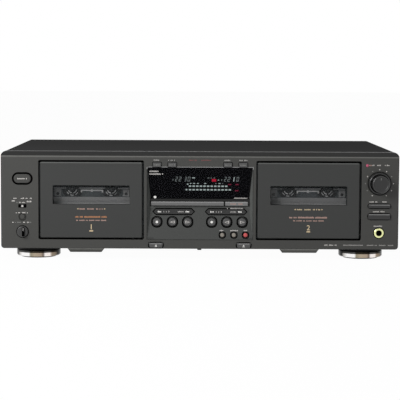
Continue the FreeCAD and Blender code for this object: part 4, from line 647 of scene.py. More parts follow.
# Painted shade in the recesses of the console's keys and round the bars in the valley, and painted light on
# the trough's side walls.
CONSOLE_PAINTED_SHADING = (
    ("Deep shade", {"Plane": (FRONT + 0.3) * MM, "Lean": CONSOLE_SLOPE, "Foot": CONSOLE_FOOT * MM,
                    "Outer": 0.0565, "Low": 0.0224, "High": 0.0557}),
    ("Deep shade", {"Plane": -0.1252, "Outer": 0.0542, "Low": 0.0577, "High": 0.0668}),
    ("Deep shade", {"Plane": (FRONT + 0.3) * MM, "Inner": 0.050, "Outer": 0.0575, "Low": 0.0224,
                    "High": 0.1003, "Shade": WALL_PAINTED_LIGHT_GAIN}),
    ("Deep shade", {"Plane": (FRONT - 0.15) * MM, "Lean": CONSOLE_SLOPE, "Inner": 0.050, "Outer": 0.0575,
                    "Foot": CONSOLE_FOOT * MM, "Low": 0.0224, "High": 0.056, "Shade": 1.0 / WALL_PAINTED_LIGHT_GAIN}),
)
# Painted shade on the door's gap walls and window recess, and a painted highlight along its top edge.
DOOR_PAINTED_SHADING = (
    ("Deep shade", {"Plane": (FRONT + 0.9) * MM}),
    ("Painted shading band", {"Low": 0.1045, "High": 0.1056, "Gain": 3.0}),
)
# Painted highlight: a lighter band along the top of the chassis ribs and their lips.
RIB_PAINTED_HIGHLIGHT = (("Painted shading band", {"Low": 0.0095, "High": 0.0128, "Gain": 2.3}),)
# Painted reflection: a band of the foot rings darkened, for the deck's dark underside.
RING_PAINTED_UNDERSIDE_REFLECTION = (("Painted shading band", {"Low": 0.0056, "High": 0.0090, "Gain": 0.06}),)
KNOB_TONES = (("Deep shade", {"Plane": (FRONT - 12.6) * MM, "Shade": 0.1}),)
# Painted shade inside the bore of the phones jack.
JACK_PAINTED_SHADE = (("Deep shade", {"Plane": (FRONT - 0.4) * MM, "Shade": 0.02}),)


def bar_painted_highlight(gain):
    """A painted highlight: the upper edge of a bar key made lighter by a gain."""
    return (("Painted shading band", {"Low": 0.0620, "High": 0.0634, "Gain": gain}),)


LIT = {
    "lit white": ((0.80, 0.95, 0.92), 1.0), "lit dim": ((0.62, 0.70, 0.70), 0.5),
    "lit red": ((0.95, 0.012, 0.06), 0.95), "lit crimson": ((0.60, 0.03, 0.10), 0.6),
}
PRINTS = {
    "bright print": (0.80, 0.79, 0.76), "faint print": (0.20, 0.20, 0.19), "soft print": (0.34, 0.33, 0.32),
    "rose print": (0.42, 0.27, 0.23), "gold print": (0.58, 0.46, 0.29), "red print": (0.17, 0.055, 0.055),
    # painted highlight: a pale film along lit edges of the trough and of the bar and eject keys
    "edge grey": grey(128),
}


def build_finishes():
    """Every material, under the name that pieces and nodes ask for."""
    for effect in (moulded_grain, drawn_lines, painted_shading_band, deep_shade, painted_ring_reflections):
        effect()
    colours = bpy.context.scene.duplicator_finish
    marks = bpy.context.scene.duplicator_marks
    panel = tuple(colours.panel)
    plastic("panel plastic", panel, gloss=0.42, edge=0.0004, tones=PANEL_PAINTED_SHADING)
    plastic("console plastic", tuple(colours.console), gloss=0.42, edge=0.0003, tones=CONSOLE_PAINTED_SHADING)
    plastic("door plastic", tuple(colours.door), gloss=0.36, depth=0.00002, edge=0.0004, spread=0.06,
            tones=DOOR_PAINTED_SHADING)
    plastic("cover paint", tuple(colours.cover), gloss=0.85, pebbles=1300.0, depth=0.00004, spread=0.10,
            edge=0.0004, specular=0.0)
    plastic("rear paint", grey(50), gloss=0.6, pebbles=1300.0, depth=0.00004, edge=0.0003)
    plastic("key plastic", grey(76), gloss=0.34, edge=0.0003)
    plastic("rocker plastic", grey(44), gloss=0.34, edge=0.0003)
    plastic("panel key plastic", panel, gloss=0.38, edge=0.0003)
    plastic("bar plastic", grey(100), gloss=0.35, edge=0.0004, tones=bar_painted_highlight(1.9))
    plastic("pale bar plastic", grey(112), gloss=0.35, edge=0.0004, tones=bar_painted_highlight(1.6))
    plastic("side bar plastic", grey(50), gloss=0.35, edge=0.0004)
    plastic("pale key plastic", (0.24, 0.22, 0.19), gloss=0.35, edge=0.0003)
    plastic("red key plastic", (0.52, 0.09, 0.09), gloss=0.35, edge=0.0003)
    plastic("knob plastic", grey(44), gloss=0.3, edge=0.0003, tones=KNOB_TONES)
    plastic("knob rim plastic", grey(16), gloss=0.2, depth=0.0, specular=0.9)
    plastic("small knob plastic", grey(60), gloss=0.3, edge=0.0003)
    plastic("lamp plastic", (0.50, 0.08, 0.16), gloss=0.15, depth=0.0, coat=0.5)
    plastic("holder plastic", grey(22), gloss=0.5)
    plastic("socket plastic", grey(28), edge=0.0003)
    plastic("foot plastic", grey(14), gloss=0.5, specular=0.1)
    plastic("gland rubber", grey(22), gloss=0.7, pebbles=3500.0)
    plastic("reel plastic", grey(26), gloss=0.4)
    # Flat black for the display's mask and tube face, and painted shade in the key gaps, the timer slot,
    # under the window tops and on the pitch knob's grip.
    plastic("mask black", grey(5), gloss=0.9, depth=0.0, specular=0.0)
    plastic("well grey", grey(160), gloss=0.5, spread=0.25)
    plastic("well pale", grey(205), gloss=0.4, spread=0.2)
    plastic("well bright", grey(250), gloss=0.4, spread=0.05)
    plastic("board green", (0.02, 0.07, 0.03), gloss=0.4, pebbles=600.0, spread=0.3)
    plastic("core steel", grey(60), gloss=0.6, pebbles=900.0, spread=0.3)
    metal("zinc sheet", (0.095, 0.095, 0.090), 0.5, (900.0, 12.0, 900.0), tones=RIB_PAINTED_HIGHLIGHT)
    metal("frame steel", (0.10, 0.11, 0.115), 0.5, (15.0, 700.0, 700.0))
    metal("turned steel", (0.60, 0.60, 0.62), 0.25, (500.0, 40.0, 500.0))
    metal("can steel", (0.50, 0.50, 0.50), 0.35, (60.0, 900.0, 60.0))
    metal("gold plate", (0.80, 0.82, 0.42), 0.25, (300.0, 40.0, 300.0), spread=0.1, tones=JACK_PAINTED_SHADE)
    metal("screw steel", (0.12, 0.12, 0.12), 0.4, (400.0, 400.0, 400.0))
    metal("nickel plate", (0.62, 0.60, 0.56), 0.2, (300.0, 60.0, 300.0))
    ring_with_painted_reflections("foot ring metal")
    pane("smoked window", (0.030, 0.034, 0.035), 0.22, 0.08, 0.12)
    pane("display glass", (0.0075, 0.0075, 0.0088), 0.55, 0.03, 0.0)
    for name, (colour, share) in LIT.items():
        glow(name, colour, marks.glow_strength * share)
    printed("white print", tuple(marks.print_colour))
    printed("warm print", tuple(marks.door_print))
    for name, colour in PRINTS.items():
        printed(name, colour)

NODE_FINISH = {
    "front_panel": "panel plastic", "centre_console": "console plastic", "display_window": "display glass",
    "control_boards": "board green", "record_lamp": "lamp plastic", "phones_jack": "gold plate",
    "drive_motors": "can steel", "top_cover": "cover paint", "bottom_chassis": "zinc sheet",
    "rear_panel": "rear paint", "phono_sockets": "socket plastic", "cord_gland": "gland rubber",
    "main_board": "board green", "power_transformer": "core steel", "feet": "foot plastic",
    "foot_rings": "foot ring metal", "pause_button": "pale key plastic",
    "record_mute_button": "pale key plastic", "record_button": "red key plastic",
    "dubbing_bar": "bar plastic", "dubbing_speed_button": "pale bar plastic",
    "timer_switch": "side bar plastic", "pitch_knob": "small knob plastic",
    "record_level_knob": "knob plastic", "noise_reduction_button": "side bar plastic",
    "relay_play_button": "side bar plastic", "power_button": "panel key plastic",
    "pitch_button": "panel key plastic",
}
ENDING_FINISH = {
    "_mechanism_frame": "frame steel", "_door": "door plastic", "_door_window": "smoked window",
    "_cassette_holder": "holder plastic", "_head_bridge": "frame steel", "_reel": "reel plastic",
    "_capstan": "turned steel", "_button": "key plastic", "_rocker": "rocker plastic",
}


def finish_for(node):
    """The finish of a node by its own name, or else by its name's ending."""
    if node in NODE_FINISH:
        return NODE_FINISH[node]
    endings = [ending for ending in ENDING_FINISH if node.endswith(ending)]
    return ENDING_FINISH[max(endings, key=len)]


def dress_nodes():
    """Each node of the frame gets its finish in its own material slots."""
    for name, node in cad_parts.items():
        material = bpy.data.materials[finish_for(name)]
        if not node.material_slots:
            node.data.materials.append(material)
        for slot in node.material_slots:
            slot.material = material


def film(surface, lift=PRINT_LIFT):
    """The front and back of a thin film on a surface y = surface(x, z)."""
    def near(x, z):
        return surface(x, z) - lift

    def far(x, z):
        return surface(x, z) - lift + PRINT_THICK

    return near, far


def print_on(name, outlines, surface, finish, body="root", slot="pale_key_plastic"):
    """Thin printed or lit shapes on a surface y = surface(x, z), from outlines of any number of corners."""
    by_corners = {}
    for outline in outlines:
        by_corners.setdefault(len(outline), []).append(outline)
    forms = [prisms(np.array(group), *film(surface)) for group in by_corners.values()]
    put_mesh(name, *gather(forms), finish, body, slot)


def painted_shade_ring(name, outer, inner, surface):
    """Painted shade on the panel or the console: a thin black line between two outlines, standing for a
    shaded gap.
    """
    verts, faces = rims(np.asarray(outer)[None], np.asarray(inner)[None], *film(surface, LINE_LIFT))
    put_mesh(name, verts, faces, "mask black", "root", "display_glass")


def middle_of(node):
    """The middle of a node's box in X and Z, and the y of its front, in millimetres."""
    low, high = corner_mm(node)
    x, _, z = (low + high) / 2
    return x, z, low[1]


def spread_of(node):
    """The middle of a node's box in X and Z, its width and its height, in millimetres."""
    low, high = corner_mm(node)
    x, _, z = (low + high) / 2
    width, _, height = high - low
    return x, z, width, height


def frame_bar(x, z, width, height):
    """A rectangle about its middle."""
    return bar(x - width / 2, x + width / 2, z - height / 2, z + height / 2)


def six_cornered(x, z, width, height, tip):
    """A bar with a corner in the middle of each end, which stands out by a tip."""
    half = width / 2
    rise = height / 2
    return np.array([[x - half, z], [x - half + tip, z - rise], [x + half - tip, z - rise], [x + half, z],
                     [x + half - tip, z + rise], [x - half + tip, z + rise]])


def pointed(x, z, width, height):
    """A bar with both ends drawn to points."""
    return six_cornered(x, z, width, height, height / 2)


def arc_band(x, z, inner, outer, start, stop, steps=24):
    """A part of a ring between two angles in degrees, counter-clockwise from the right."""
    turn = np.radians(np.linspace(start, stop, steps))
    way = np.stack([np.cos(turn), np.sin(turn)], -1)
    return np.array([x, z]) + np.concatenate([outer * way, inner * way[::-1]])


FINE_PITCH = 1.15


def words(rows, seed):
    """Rows of fine print, each as x0, x1, middle z and height."""
    shapes = []
    for index, (x0, x1, z, height) in enumerate(rows):
        shapes += label(x0, x1, z, height, FINE_PITCH, seed + index)
    return shapes

# Printed marks of the panel, in X and Z

DIAL_RADIUS = 15.1
DIAL_DOT = 0.62
DIAL_FAINT = (-120, -90, -30, 60)
PANEL_WORDS = (
    (185.6, 188.2, 103.5, 1.3), (190.8, 195.2, 103.5, 1.3), (198.4, 200.1, 103.5, 1.3),
    (201.2, 204.5, 103.5, 1.3), (183.1, 191.9, 64.0, 1.4), (197.2, 201.9, 64.0, 1.4),
    (187.0, 199.8, 53.4, 1.4), (188.0, 198.6, 37.7, 1.4), (-196.8, -186.1, 87.3, 1.4),
    (-201.3, -197.5, 66.3, 1.3), (-193.3, -189.5, 66.3, 1.3), (-188.0, -185.8, 66.3, 1.3),
    (-183.5, -181.2, 66.3, 1.3), (-195.2, -193.3, 61.8, 1.0), (-192.2, -188.5, 61.8, 1.2),
    (-198.8, -197.3, 50.7, 1.2), (-196.0, -193.8, 50.7, 1.2), (-192.0, -185.5, 50.7, 1.3),
    (-202.8, -200.7, 40.3, 1.2), (-191.0, -188.6, 40.3, 1.3), (-186.5, -184.4, 40.3, 1.3),
)
SWITCH_DASH = (-203.0, -199.8, 62.9, 63.9)
SWITCH_WORD = (-186.9, -181.6, 62.9, 1.8, 1.4)
TOP_WORDS = (
    (-50.0, -43.9, 108.2, 1.3), (-34.3, -25.7, 108.2, 1.3), (26.1, 32.7, 108.2, 1.3),
    (42.3, 51.2, 108.2, 1.3),
)
PANEL_FAINT_WORDS = (
    (-199.8, -191.8, 40.3, 1.1), (-183.9, -182.0, 40.3, 1.1), (-198.0, -196.5, 61.8, 1.0),
)
FOOT_WORDS = ((155.4, 176.8, 16.8, 1.2), (180.9, 191.9, 16.8, 1.2), (194.0, 209.8, 16.8, 1.2))
FOOT_LINE = ((133.7, 148.5, 16.8, 1.5),)
LAMP_WORDS = ((182.4, 185.3, 103.5, 1.3),)
RED_WORDS = ((-12.0, -1.0, 108.2, 1.2), (1.0, 12.0, 108.2, 1.2))


def panel_marks():
    """Fine labels of the switches, the dial's dots and the lines over the bars."""
    face = flat_at(FRONT)
    x, z, _ = middle_of("record_level_knob")
    dots = {"white": [], "faint": []}
    for degrees in range(-150, 151, 30):
        turn = math.radians(degrees)
        place = disc(x + DIAL_RADIUS * math.sin(turn), z + DIAL_RADIUS * math.cos(turn), DIAL_DOT, 14)
        dots["faint" if degrees in DIAL_FAINT else "white"].append(place)
    plain = words(PANEL_WORDS, 1) + [bar(*SWITCH_DASH), *label(*SWITCH_WORD, 17)]
    print_on("panel_print", plain, face, "white print")
    print_on("panel_faint_print", words(PANEL_FAINT_WORDS, 31), face, "faint print")
    print_on("panel_soft_print", words(TOP_WORDS + FOOT_WORDS, 91), face, "soft print")
    print_on("panel_foot_line", words(FOOT_LINE, 3), face, "white print")
    print_on("lamp_print", words(LAMP_WORDS, 7), face, "rose print", slot="red_key_plastic")
    for tone, shapes in dots.items():
        print_on("dial_dots_" + tone, shapes, face, tone + " print")
    print_on("panel_warm_print", words(RED_WORDS, 5), face, "red print", slot="red_key_plastic")

DOOR_ROWS = {
    "left": (("rose print", -12.6, 12.6, 55.1, 1.5), ("warm print", -17.0, 17.0, 46.5, 2.0),
             ("rose print", -16.3, 16.3, 42.7, 1.3)),
    "right": (("gold print", -12.6, 12.8, 55.3, 1.5), ("rose print", -20.8, 20.3, 46.7, 2.0),
              ("rose print", -16.5, 16.8, 43.1, 1.3)),
}
DOOR_ARROWS = 14.7
NUMERAL_LINE = (-2.0, 2.0, 30.5, 31.8)
NUMERAL_FOOT = 32.9
NUMERAL_HEIGHT = 5.4
CAPITAL_SHARE = 0.70
NUMERAL_BOLD = 0.08


def door_marks():
    """The numeral of each deck over its line, and three rows of warm fine print."""
    face = flat_at(FRONT)
    for side, numeral in zip(SIDES, "12"):
        door = side + "_door"
        middle = middle_of(door)[0]
        for index, (finish, x0, x1, z, height) in enumerate(DOOR_ROWS[side]):
            shapes = label(middle + x0, middle + x1, z, height, FINE_PITCH, 20 + index)
            print_on(door + "_print_" + str(index), shapes, face, finish, door, "plated_brass")
        x0, x1, z0, z1 = NUMERAL_LINE
        pale = [bar(middle + x0, middle + x1, z0, z1)]
        pale += [arrow(middle + way * DOOR_ARROWS, DOOR_ROWS[side][0][3], 1.7, 1.5, way) for way in (-1, 1)]
        print_on(door + "_line", pale, face, "gold print", door, "plated_brass")
        print_numeral(door + "_numeral", numeral, middle, door)


def print_numeral(name, numeral, x, body):
    """A plain numeral turned from text into a thin mesh."""
    text = bpy.data.curves.new(name, "FONT")
    text.body = numeral
    text.align_x = "CENTER"
    text.size = NUMERAL_HEIGHT / CAPITAL_SHARE * MM
    text.offset = NUMERAL_BOLD * MM
    text.extrude = PRINT_THICK / 2 * MM
    holder = new_object(name + "_text", text)
    bpy.context.view_layer.update()
    graph = bpy.context.evaluated_depsgraph_get()
    mesh = bpy.data.meshes.new_from_object(holder.evaluated_get(graph))
    bpy.data.objects.remove(holder)
    upright = Matrix.Rotation(math.pi / 2, 4, "X")
    place = Vector((x, FRONT - PRINT_LIFT + PRINT_THICK / 2, NUMERAL_FOOT)) * MM
    mesh.transform(Matrix.Translation(place) @ upright)
    mesh.materials.clear()
    mesh.materials.append(bpy.data.materials["gold print"])
    seat_piece(name, mesh, body)


CONSOLE_WORDS = (
    (21.6, 27.0, 32.0, 1.3), (33.0, 41.5, 32.0, 1.3), (47.6, 51.4, 32.0, 1.3), (29.2, 48.0, 55.8, 1.2),
)


def console_marks():
    """Fine labels over the small keys and over the right rocker, on the leaning face."""
    print_on("console_print", words(CONSOLE_WORDS, 40), console_face, "white print")


def rounded(x, z, width, height, radius, steps=7):
    """A rectangle about its middle with round corners."""
    turns = np.radians(np.linspace(0.0, 90.0, steps))
    corners = []
    for quarter, (sx, sz) in enumerate(((1, 1), (-1, 1), (-1, -1), (1, -1))):
        turn = turns + quarter * math.pi / 2
        corners.append(np.stack([x + sx * (width / 2 - radius) + radius * np.cos(turn),
                                 z + sz * (height / 2 - radius) + radius * np.sin(turn)], -1))
    return np.concatenate(corners)


# Painted shade: black lines that stand for the shaded gaps round the keys, a painted shadow round the level
# knob, and a black floor in the timer switch's slot.
KEY_GAP = 0.2
ROCKER_LINE = (3.4, 2.4)
ROCKER_GAP = (0.4, 0.3)
SIDE_BAR_LINE = (2.4, 1.6)
EJECT_LINE = (1.0, 2.4)
ROUND_KEY_LINE = (1.25, 4.3)
SMALL_KEY_LINE = (1.05, 2.25)
TOP_KEY_LINE = (0.7, 0.8)
LEFT_LINES = {"power_button": (1.9, 4.8), "pitch_button": (0.6, 2.75), "pitch_knob": (0.9, 5.9)}
ROUND_LINES = (
    ("phones_outline", "phones_jack", 6.2, 5.35, 40),
    ("level_knob_outline", "record_level_knob", 12.9, 12.3, 60),
)
TIMER_SLOT = (9.0, 4.6, 2.0)
TIMER_SLOT_RISE = 0.3
TIMER_SLOT_DEPTH = 0.5
# Painted highlight along the trough's top edge, broken at the top keys
TROUGH_HIGHLIGHT_HEIGHTS = (100.35, 101.1)
TROUGH_HIGHLIGHT = ((-56.0, -51.4), (-42.4, -35.0), (-25.2, 25.2), (34.6, 42.2), (51.2, 57.0))


def painted_shade_round_key(node, line, surface):
    """Painted shade: a black line round a key from just outside its edge; line is its spread and the corners'
    radius.
    """
    spread, radius = line
    x, z, width, height = spread_of(node)
    inside = min(radius, height / 2)
    painted_shade_ring(node + "_outline", rounded(x, z, width + 2 * spread, height + 2 * spread, inside + spread),
               rounded(x, z, width + KEY_GAP, height + KEY_GAP, inside + KEY_GAP / 2), surface)


def key_shade_and_trough_highlight():
    """Painted shade in the gaps round the keys of the panel and of the console, as black lines, and a painted
    highlight along the trough's top edge.
    """
    face = flat_at(FRONT)
    for side in SIDES:
        painted_shade_round_key(side + "_eject_button", EJECT_LINE, face)
        for action in ROUND_KEYS:
            painted_shade_round_key(side + "_" + action + "_button", ROUND_KEY_LINE, console_face)
        x, z, width, height = spread_of(side + "_search_rocker")
        outer, inner = [pointed(x, z, width + out, height + up) for out, up in (ROCKER_LINE, ROCKER_GAP)]
        painted_shade_ring(side + "_rocker_outline", outer, inner, console_face)
    for node in ("pause_button", "record_mute_button", "record_button"):
        painted_shade_round_key(node, SMALL_KEY_LINE, console_face)
    for node in TOP_KEYS:
        painted_shade_round_key(node, TOP_KEY_LINE, face)
    for node, line in LEFT_LINES.items():
        painted_shade_round_key(node, line, face)
    for node in SIDE_BARS:
        x, z, width, height = spread_of(node)
        out, up = SIDE_BAR_LINE
        painted_shade_ring(node + "_outline", pointed(x, z, width + out, height + up),
                   six_cornered(x, z, width + KEY_GAP, height + KEY_GAP, 0.0), face)
    for name, node, outer, inner, corners in ROUND_LINES:
        x, z, _ = middle_of(node)
        painted_shade_ring(name, disc(x, z, outer, corners), disc(x, z, inner, corners), face)
    x, z, _ = middle_of("timer_switch")
    # Painted shade: a black floor sunk in the timer switch's slot.
    floor = rounded(x, z + TIMER_SLOT_RISE, *TIMER_SLOT)
    sunk = flat_at(FRONT + TIMER_SLOT_DEPTH)
    print_on("timer_slot_painted_shade", [floor], sunk, "mask black", slot="display_glass")
    # Painted highlight: a pale line along the trough's top edge.
    glint = [bar(x0, x1, *TROUGH_HIGHLIGHT_HEIGHTS) for x0, x1 in TROUGH_HIGHLIGHT]
    print_on("trough_top_edge", glint, face, "edge grey")


# The display

TUBE_FACE = -120.1
TUBE = (-44.2, 44.2, TUBE_FACE + 0.02, TUBE_FACE + 0.08, 70.8, 96.3)
MASK_BEHIND = 0.04
MASK_THICK = 0.08
MASK_INSET = 0.4
MASK_FOOT = 53.0
MASK_HEAD = 56.0
MASK_OPENING = (-44.0, 44.0, 71.5, 95.5)
METER_START = -10.8
METER_PITCH = 3.92
METER_WIDTH = 2.65
METER_HEIGHT = 1.5
METER_ROWS = ((75.5, 12), (79.4, 11))
STROKE = 0.66
DIGIT_FOOT = 84.5
DIGITS = (
    ("2", -27.2, 2.4), ("2", -23.3, 2.5), ("3", -17.1, 1.9), ("0", -13.8, 2.8), ("2", 26.0, 2.2),
    ("2", 29.5, 2.8), ("0", 39.2, 2.6),
)
DIGIT_DASHES = ((-29.9, -29.1, 85.4, 87.2, 0.3), (23.0, 23.8, 85.4, 87.2, 0.3))
LEVEL_SIGNS = (
    (-11.0, -9.3, 81.9, 82.8), (-7.5, -5.3, 81.9, 82.8), (-3.2, -1.4, 81.9, 82.8), (4.5, 6.8, 81.9, 82.8),
    (20.1, 22.2, 81.9, 82.8), (-15.6, -13.7, 74.8, 76.3), (-14.2, -12.6, 81.0, 82.2),
    (-8.6, -5.5, 87.9, 88.9), (19.2, 20.7, 85.7, 86.5), (36.0, 36.9, 84.6, 89.4, 0.7),
)
FAINT_SIGNS = (
    (8.1, 10.2, 87.9, 88.8), (11.5, 12.8, 87.9, 88.8), (14.7, 16.2, 87.9, 88.8), (16.4, 17.9, 81.9, 82.7),
    (24.0, 25.0, 81.9, 82.7),
)
RED_SIGN = ((12.8, 17.5, 84.4, 87.2),)
CRIMSON_SIGNS = ((30.5, 33.9, 80.8, 81.9), (38.4, 42.0, 80.8, 81.9), (38.0, 41.8, 74.1, 75.2))
WINDOW_WORDS = ((-54.6, -44.6, 96.0, 1.6), (-54.7, -39.7, 93.1, 1.6), (37.0, 51.6, 66.95, 1.3))
WINDOW_SPOT = (-48.7, 67.7)
SPOT_RADII = (1.5, 1.4)


def bars(rows):
    """A rectangle for each row."""
    return [bar(*row) for row in rows]


def glass_marks():
    """Small prints on the display window: two lines at the top left, a round sign and a line below."""
    print_on("window_print", words(WINDOW_WORDS, 61), glass_face, "white print")
    spot = disc(0.0, 0.0, 1.0) * np.array(SPOT_RADII) + np.array(WINDOW_SPOT)
    print_on("window_spot", [spot], glass_face, "bright print")


def display_signs():
    """Counter digits, the level rows with their scale and the lit red signs, on the display tube's face."""
    face = flat_at(TUBE_FACE)
    height = bpy.context.scene.duplicator_marks.digit_height / MM
    digits = [row for sign, x, width in DIGITS for row in digit(sign, x, DIGIT_FOOT, width, height, STROKE)]
    print_on("counter_digits", digits + bars(DIGIT_DASHES), face, "lit dim")
    levels = [frame_bar(METER_START + METER_PITCH * index, z, METER_WIDTH, METER_HEIGHT)
              for z, count in METER_ROWS for index in range(count)]
    print_on("level_rows", levels + bars(LEVEL_SIGNS), face, "lit white")
    print_on("faint_signs", bars(FAINT_SIGNS), face, "lit dim")
    print_on("red_sign", bars(RED_SIGN), face, "lit red", slot="red_key_plastic")
    print_on("crimson_signs", bars(CRIMSON_SIGNS), face, "lit crimson", slot="red_key_plastic")


def display_mask():
    """The black face of the display tube and the black frame round it, close behind the window."""
    put_mesh("display_tube_face", *boxes([TUBE]), "mask black", "root", "display_glass")

    def near(x, z):
        return glass_face(x, z) + GLASS_THICK + MASK_BEHIND

    def far(x, z):
        return glass_face(x, z) + GLASS_THICK + MASK_BEHIND + MASK_THICK

    low = GLASS_LOW[2] + MASK_INSET
    high = GLASS_HIGH[2] - MASK_INSET
    outer = np.array([[-MASK_FOOT, low], [MASK_FOOT, low], [MASK_HEAD, high], [-MASK_HEAD, high]])
    inner = bar(*MASK_OPENING)
    mask = rims(outer[None], inner[None], near, far)
    put_mesh("display_mask", *mask, "mask black", "root", "display_glass")


# Behind the door windows

WELL_FACE = -116.45
REEL_HUB_FACE = -116.4
SHADE_HALF = 41.2
SHADE_HEIGHTS = (78.3, 80.4)
SILL_HALF = 41.6
SILL = (-SILL_HALF, SILL_HALF, -0.4, 0.0, 58.8, 66.8)
SILL_RIBS = (61.7, 63.4, 65.1)
SILL_PADS = ((-40.6, -33.6, -0.5, 0.0, 67.7, 75.6), (33.6, 40.6, -0.5, 0.0, 67.7, 75.6))
STRIPS = (
    (-41.0, -28.2, -0.3, 0.0, 76.1, 76.9), (-14.2, 14.2, -0.3, 0.0, 76.1, 76.9),
    (28.2, 41.0, -0.3, 0.0, 76.1, 76.9), (-SILL_HALF, SILL_HALF, -1.0, -0.8, 59.6, 60.4),
)
TIE = (
    (-12.2, 12.2, -0.5, -0.05, 73.4, 74.8), (-12.2, -10.7, -0.5, -0.05, 71.8, 73.4),
    (10.7, 12.2, -0.5, -0.05, 71.8, 73.4),
)
POST_OUT = 37.1
HUB_ARC = (3.9, 4.9, 195.0, 350.0)
RIM_RADII = (6.5, 7.2)
RIM_ARCS = (206.0, 250.0, 298.0)
RIM_SWEEP = 30.0


def stud(x, z, radius, near, far):
    """A round stud in front of the well's back, from y = near to y = far of it."""
    return prisms(disc(x, z, radius)[None], flat_at(WELL_FACE + near), flat_at(WELL_FACE + far))


def well_fittings():
    """What shows through each door window: a ribbed sill, pads, strips and the tie between the reels, with a
    painted shadow under the window's top and painted highlights on the reels.
    """
    for side in SIDES:
        middle = middle_of(side + "_door")[0]
        in_well = np.array([middle, middle, WELL_FACE, WELL_FACE, 0.0, 0.0])
        shade = corner_mm(side + "_door_window")[1][1] + 0.05
        line = boxes([(middle - SHADE_HALF, middle + SHADE_HALF, shade, shade + 0.15, *SHADE_HEIGHTS)])
        put_mesh(side + "_window_shadow", *line, "mask black", side + "_door", "display_glass")
        ribs = [(-SILL_HALF, SILL_HALF, -0.8, -0.4, z, z + 0.7) for z in SILL_RIBS]
        sill = boxes(in_well + np.array([SILL, *ribs, *SILL_PADS]))
        put_mesh(side + "_well_sill", *sill, "well grey", "root", "holder_plastic")
        strips = boxes(in_well + np.array(STRIPS))
        put_mesh(side + "_well_strip", *strips, "well pale", "root", "holder_plastic")
        tie = [boxes(in_well + np.array(TIE)), stud(middle, 74.0, 1.5, -0.8, -0.5)]
        put_mesh(side + "_well_tie", *gather(tie), "well bright", "root", "plated_brass")
        posts = [stud(middle + way * POST_OUT, 70.4, 1.6, -0.9, -0.5) for way in (1, -1)]
        put_mesh(side + "_well_posts", *gather(posts), "reel plastic", "root", "holder_plastic")
        for spool in ("supply", "takeup"):
            reel = side + "_" + spool + "_reel"
            x, z, _ = middle_of(reel)
            # Painted highlights: bright arcs on each reel's hub and rim.
            arcs = [(arc_band(x, z, *HUB_ARC), -0.3, -0.02)]
            arcs += [(arc_band(x, z, *RIM_RADII, start, start + RIM_SWEEP), 0.9, 1.18) for start in RIM_ARCS]
            bright = [prisms(arc[None], flat_at(REEL_HUB_FACE + near), flat_at(REEL_HUB_FACE + far))
                      for arc, near, far in arcs]
            put_mesh(reel + "_glints", *gather(bright), "well bright", reel, "plated_brass")


# Signs on the keys

STOP_DOT = 1.36
ARROW_SIZE = (5.2, 3.2)
ARROW_HOLLOW = 0.58
EJECT_HALF = 1.1
EJECT_PEAK = (15.4, 16.9)
EJECT_DASH = (14.3, 14.9)
ROCKER_CROWN = 0.6
ROCKER_WORDS = (
    ("bright print", 13.0, 17.2), ("soft print", 4.4, 11.2), ("soft print", -11.2, -4.4),
    ("bright print", -17.2, -13.0),
)


def key_signs():
    """Signs on the keys, each riding on its own key: stop dots, hollow arrows and the signs of the bars."""
    for side in SIDES:
        for action in ROUND_KEYS:
            name = side + "_" + action + "_button"
            x, z, front = middle_of(name)
            face = flat_at(front)
            if action == "stop":
                print_on(name + "_sign", [disc(x, z, STOP_DOT, 24)], face, "bright print", name)
            else:
                way = 1 if action == "play" else -1
                outline = arrow(x + 0.2 * way, z, *ARROW_SIZE, way)
                hollow = rims(outline[None], shrunk(outline, ARROW_HOLLOW)[None], *film(face))
                put_mesh(name + "_sign", *hollow, "white print", name, "pale_key_plastic")
        rocker_signs(side + "_search_rocker")
        name = side + "_eject_button"
        x, _, front = middle_of(name)
        left = x - EJECT_HALF
        right = x + EJECT_HALF
        peak = np.array([[left, EJECT_PEAK[0]], [right, EJECT_PEAK[0]], [x, EJECT_PEAK[1]]])
        dash = bar(left, right, *EJECT_DASH)
        print_on(name + "_sign", [peak, dash], flat_at(front), "bright print", name)


def rocker_signs(name):
    """Two bright dashes near a rocker's ends with fainter fine print beside them."""
    x, z, front = middle_of(name)
    half = spread_of(name)[2] / 2
    slope = ROCKER_CROWN / half

    def crowned(px, pz):
        return front + 0.02 + np.maximum(half - np.abs(px - x), 0.0) * slope

    for index, (finish, x0, x1) in enumerate(ROCKER_WORDS):
        shapes = label(x + x0, x + x1, z, 1.6, FINE_PITCH, 70 + index)
        print_on(name + "_sign_" + str(index), shapes, crowned, finish, name)


KEY_LABELS = (
    ("dubbing_speed_button", 6.6, 1.3, "rose print"), ("power_button", 5.3, 1.4, "white print"),
    *((name, 3.2, 1.0, "faint print") for name in TOP_KEYS),
)
SIDE_BAR_HIGHLIGHT = (0.8, 1.1, 0.3)
EJECT_HIGHLIGHT = (6.0, 17.2, 18.0)


def key_labels():
    """Fine labels on the short bar, the power key and the four keys of the console's top edge, painted
    highlights along the upper edges of the side bars and the eject keys, and a spot on the timer switch.
    """
    for name, spread, height, finish in KEY_LABELS:
        x, z, front = middle_of(name)
        shapes = label(x - spread, x + spread, z, height, FINE_PITCH, len(name))
        print_on(name + "_sign", shapes, flat_at(front), finish, name)
    # Painted highlights: pale lines along the upper edges of the side bars and the eject keys.
    inset, foot, head = SIDE_BAR_HIGHLIGHT
    for name in SIDE_BARS:
        low, high = corner_mm(name)
        edge = bar(low[0] + inset, high[0] - inset, high[2] - foot, high[2] - head)
        print_on(name + "_edge", [edge], flat_at(low[1]), "edge grey", name)
    half, foot, head = EJECT_HIGHLIGHT
    for side in SIDES:
        name = side + "_eject_button"
        x, _, front = middle_of(name)
        print_on(name + "_edge", [bar(x - half, x + half, foot, head)], flat_at(front), "edge grey", name)
    x, z, front = middle_of("timer_switch")
    print_on("timer_switch_spot", [disc(x, z, 1.1)], flat_at(front), "white print", "timer_switch")


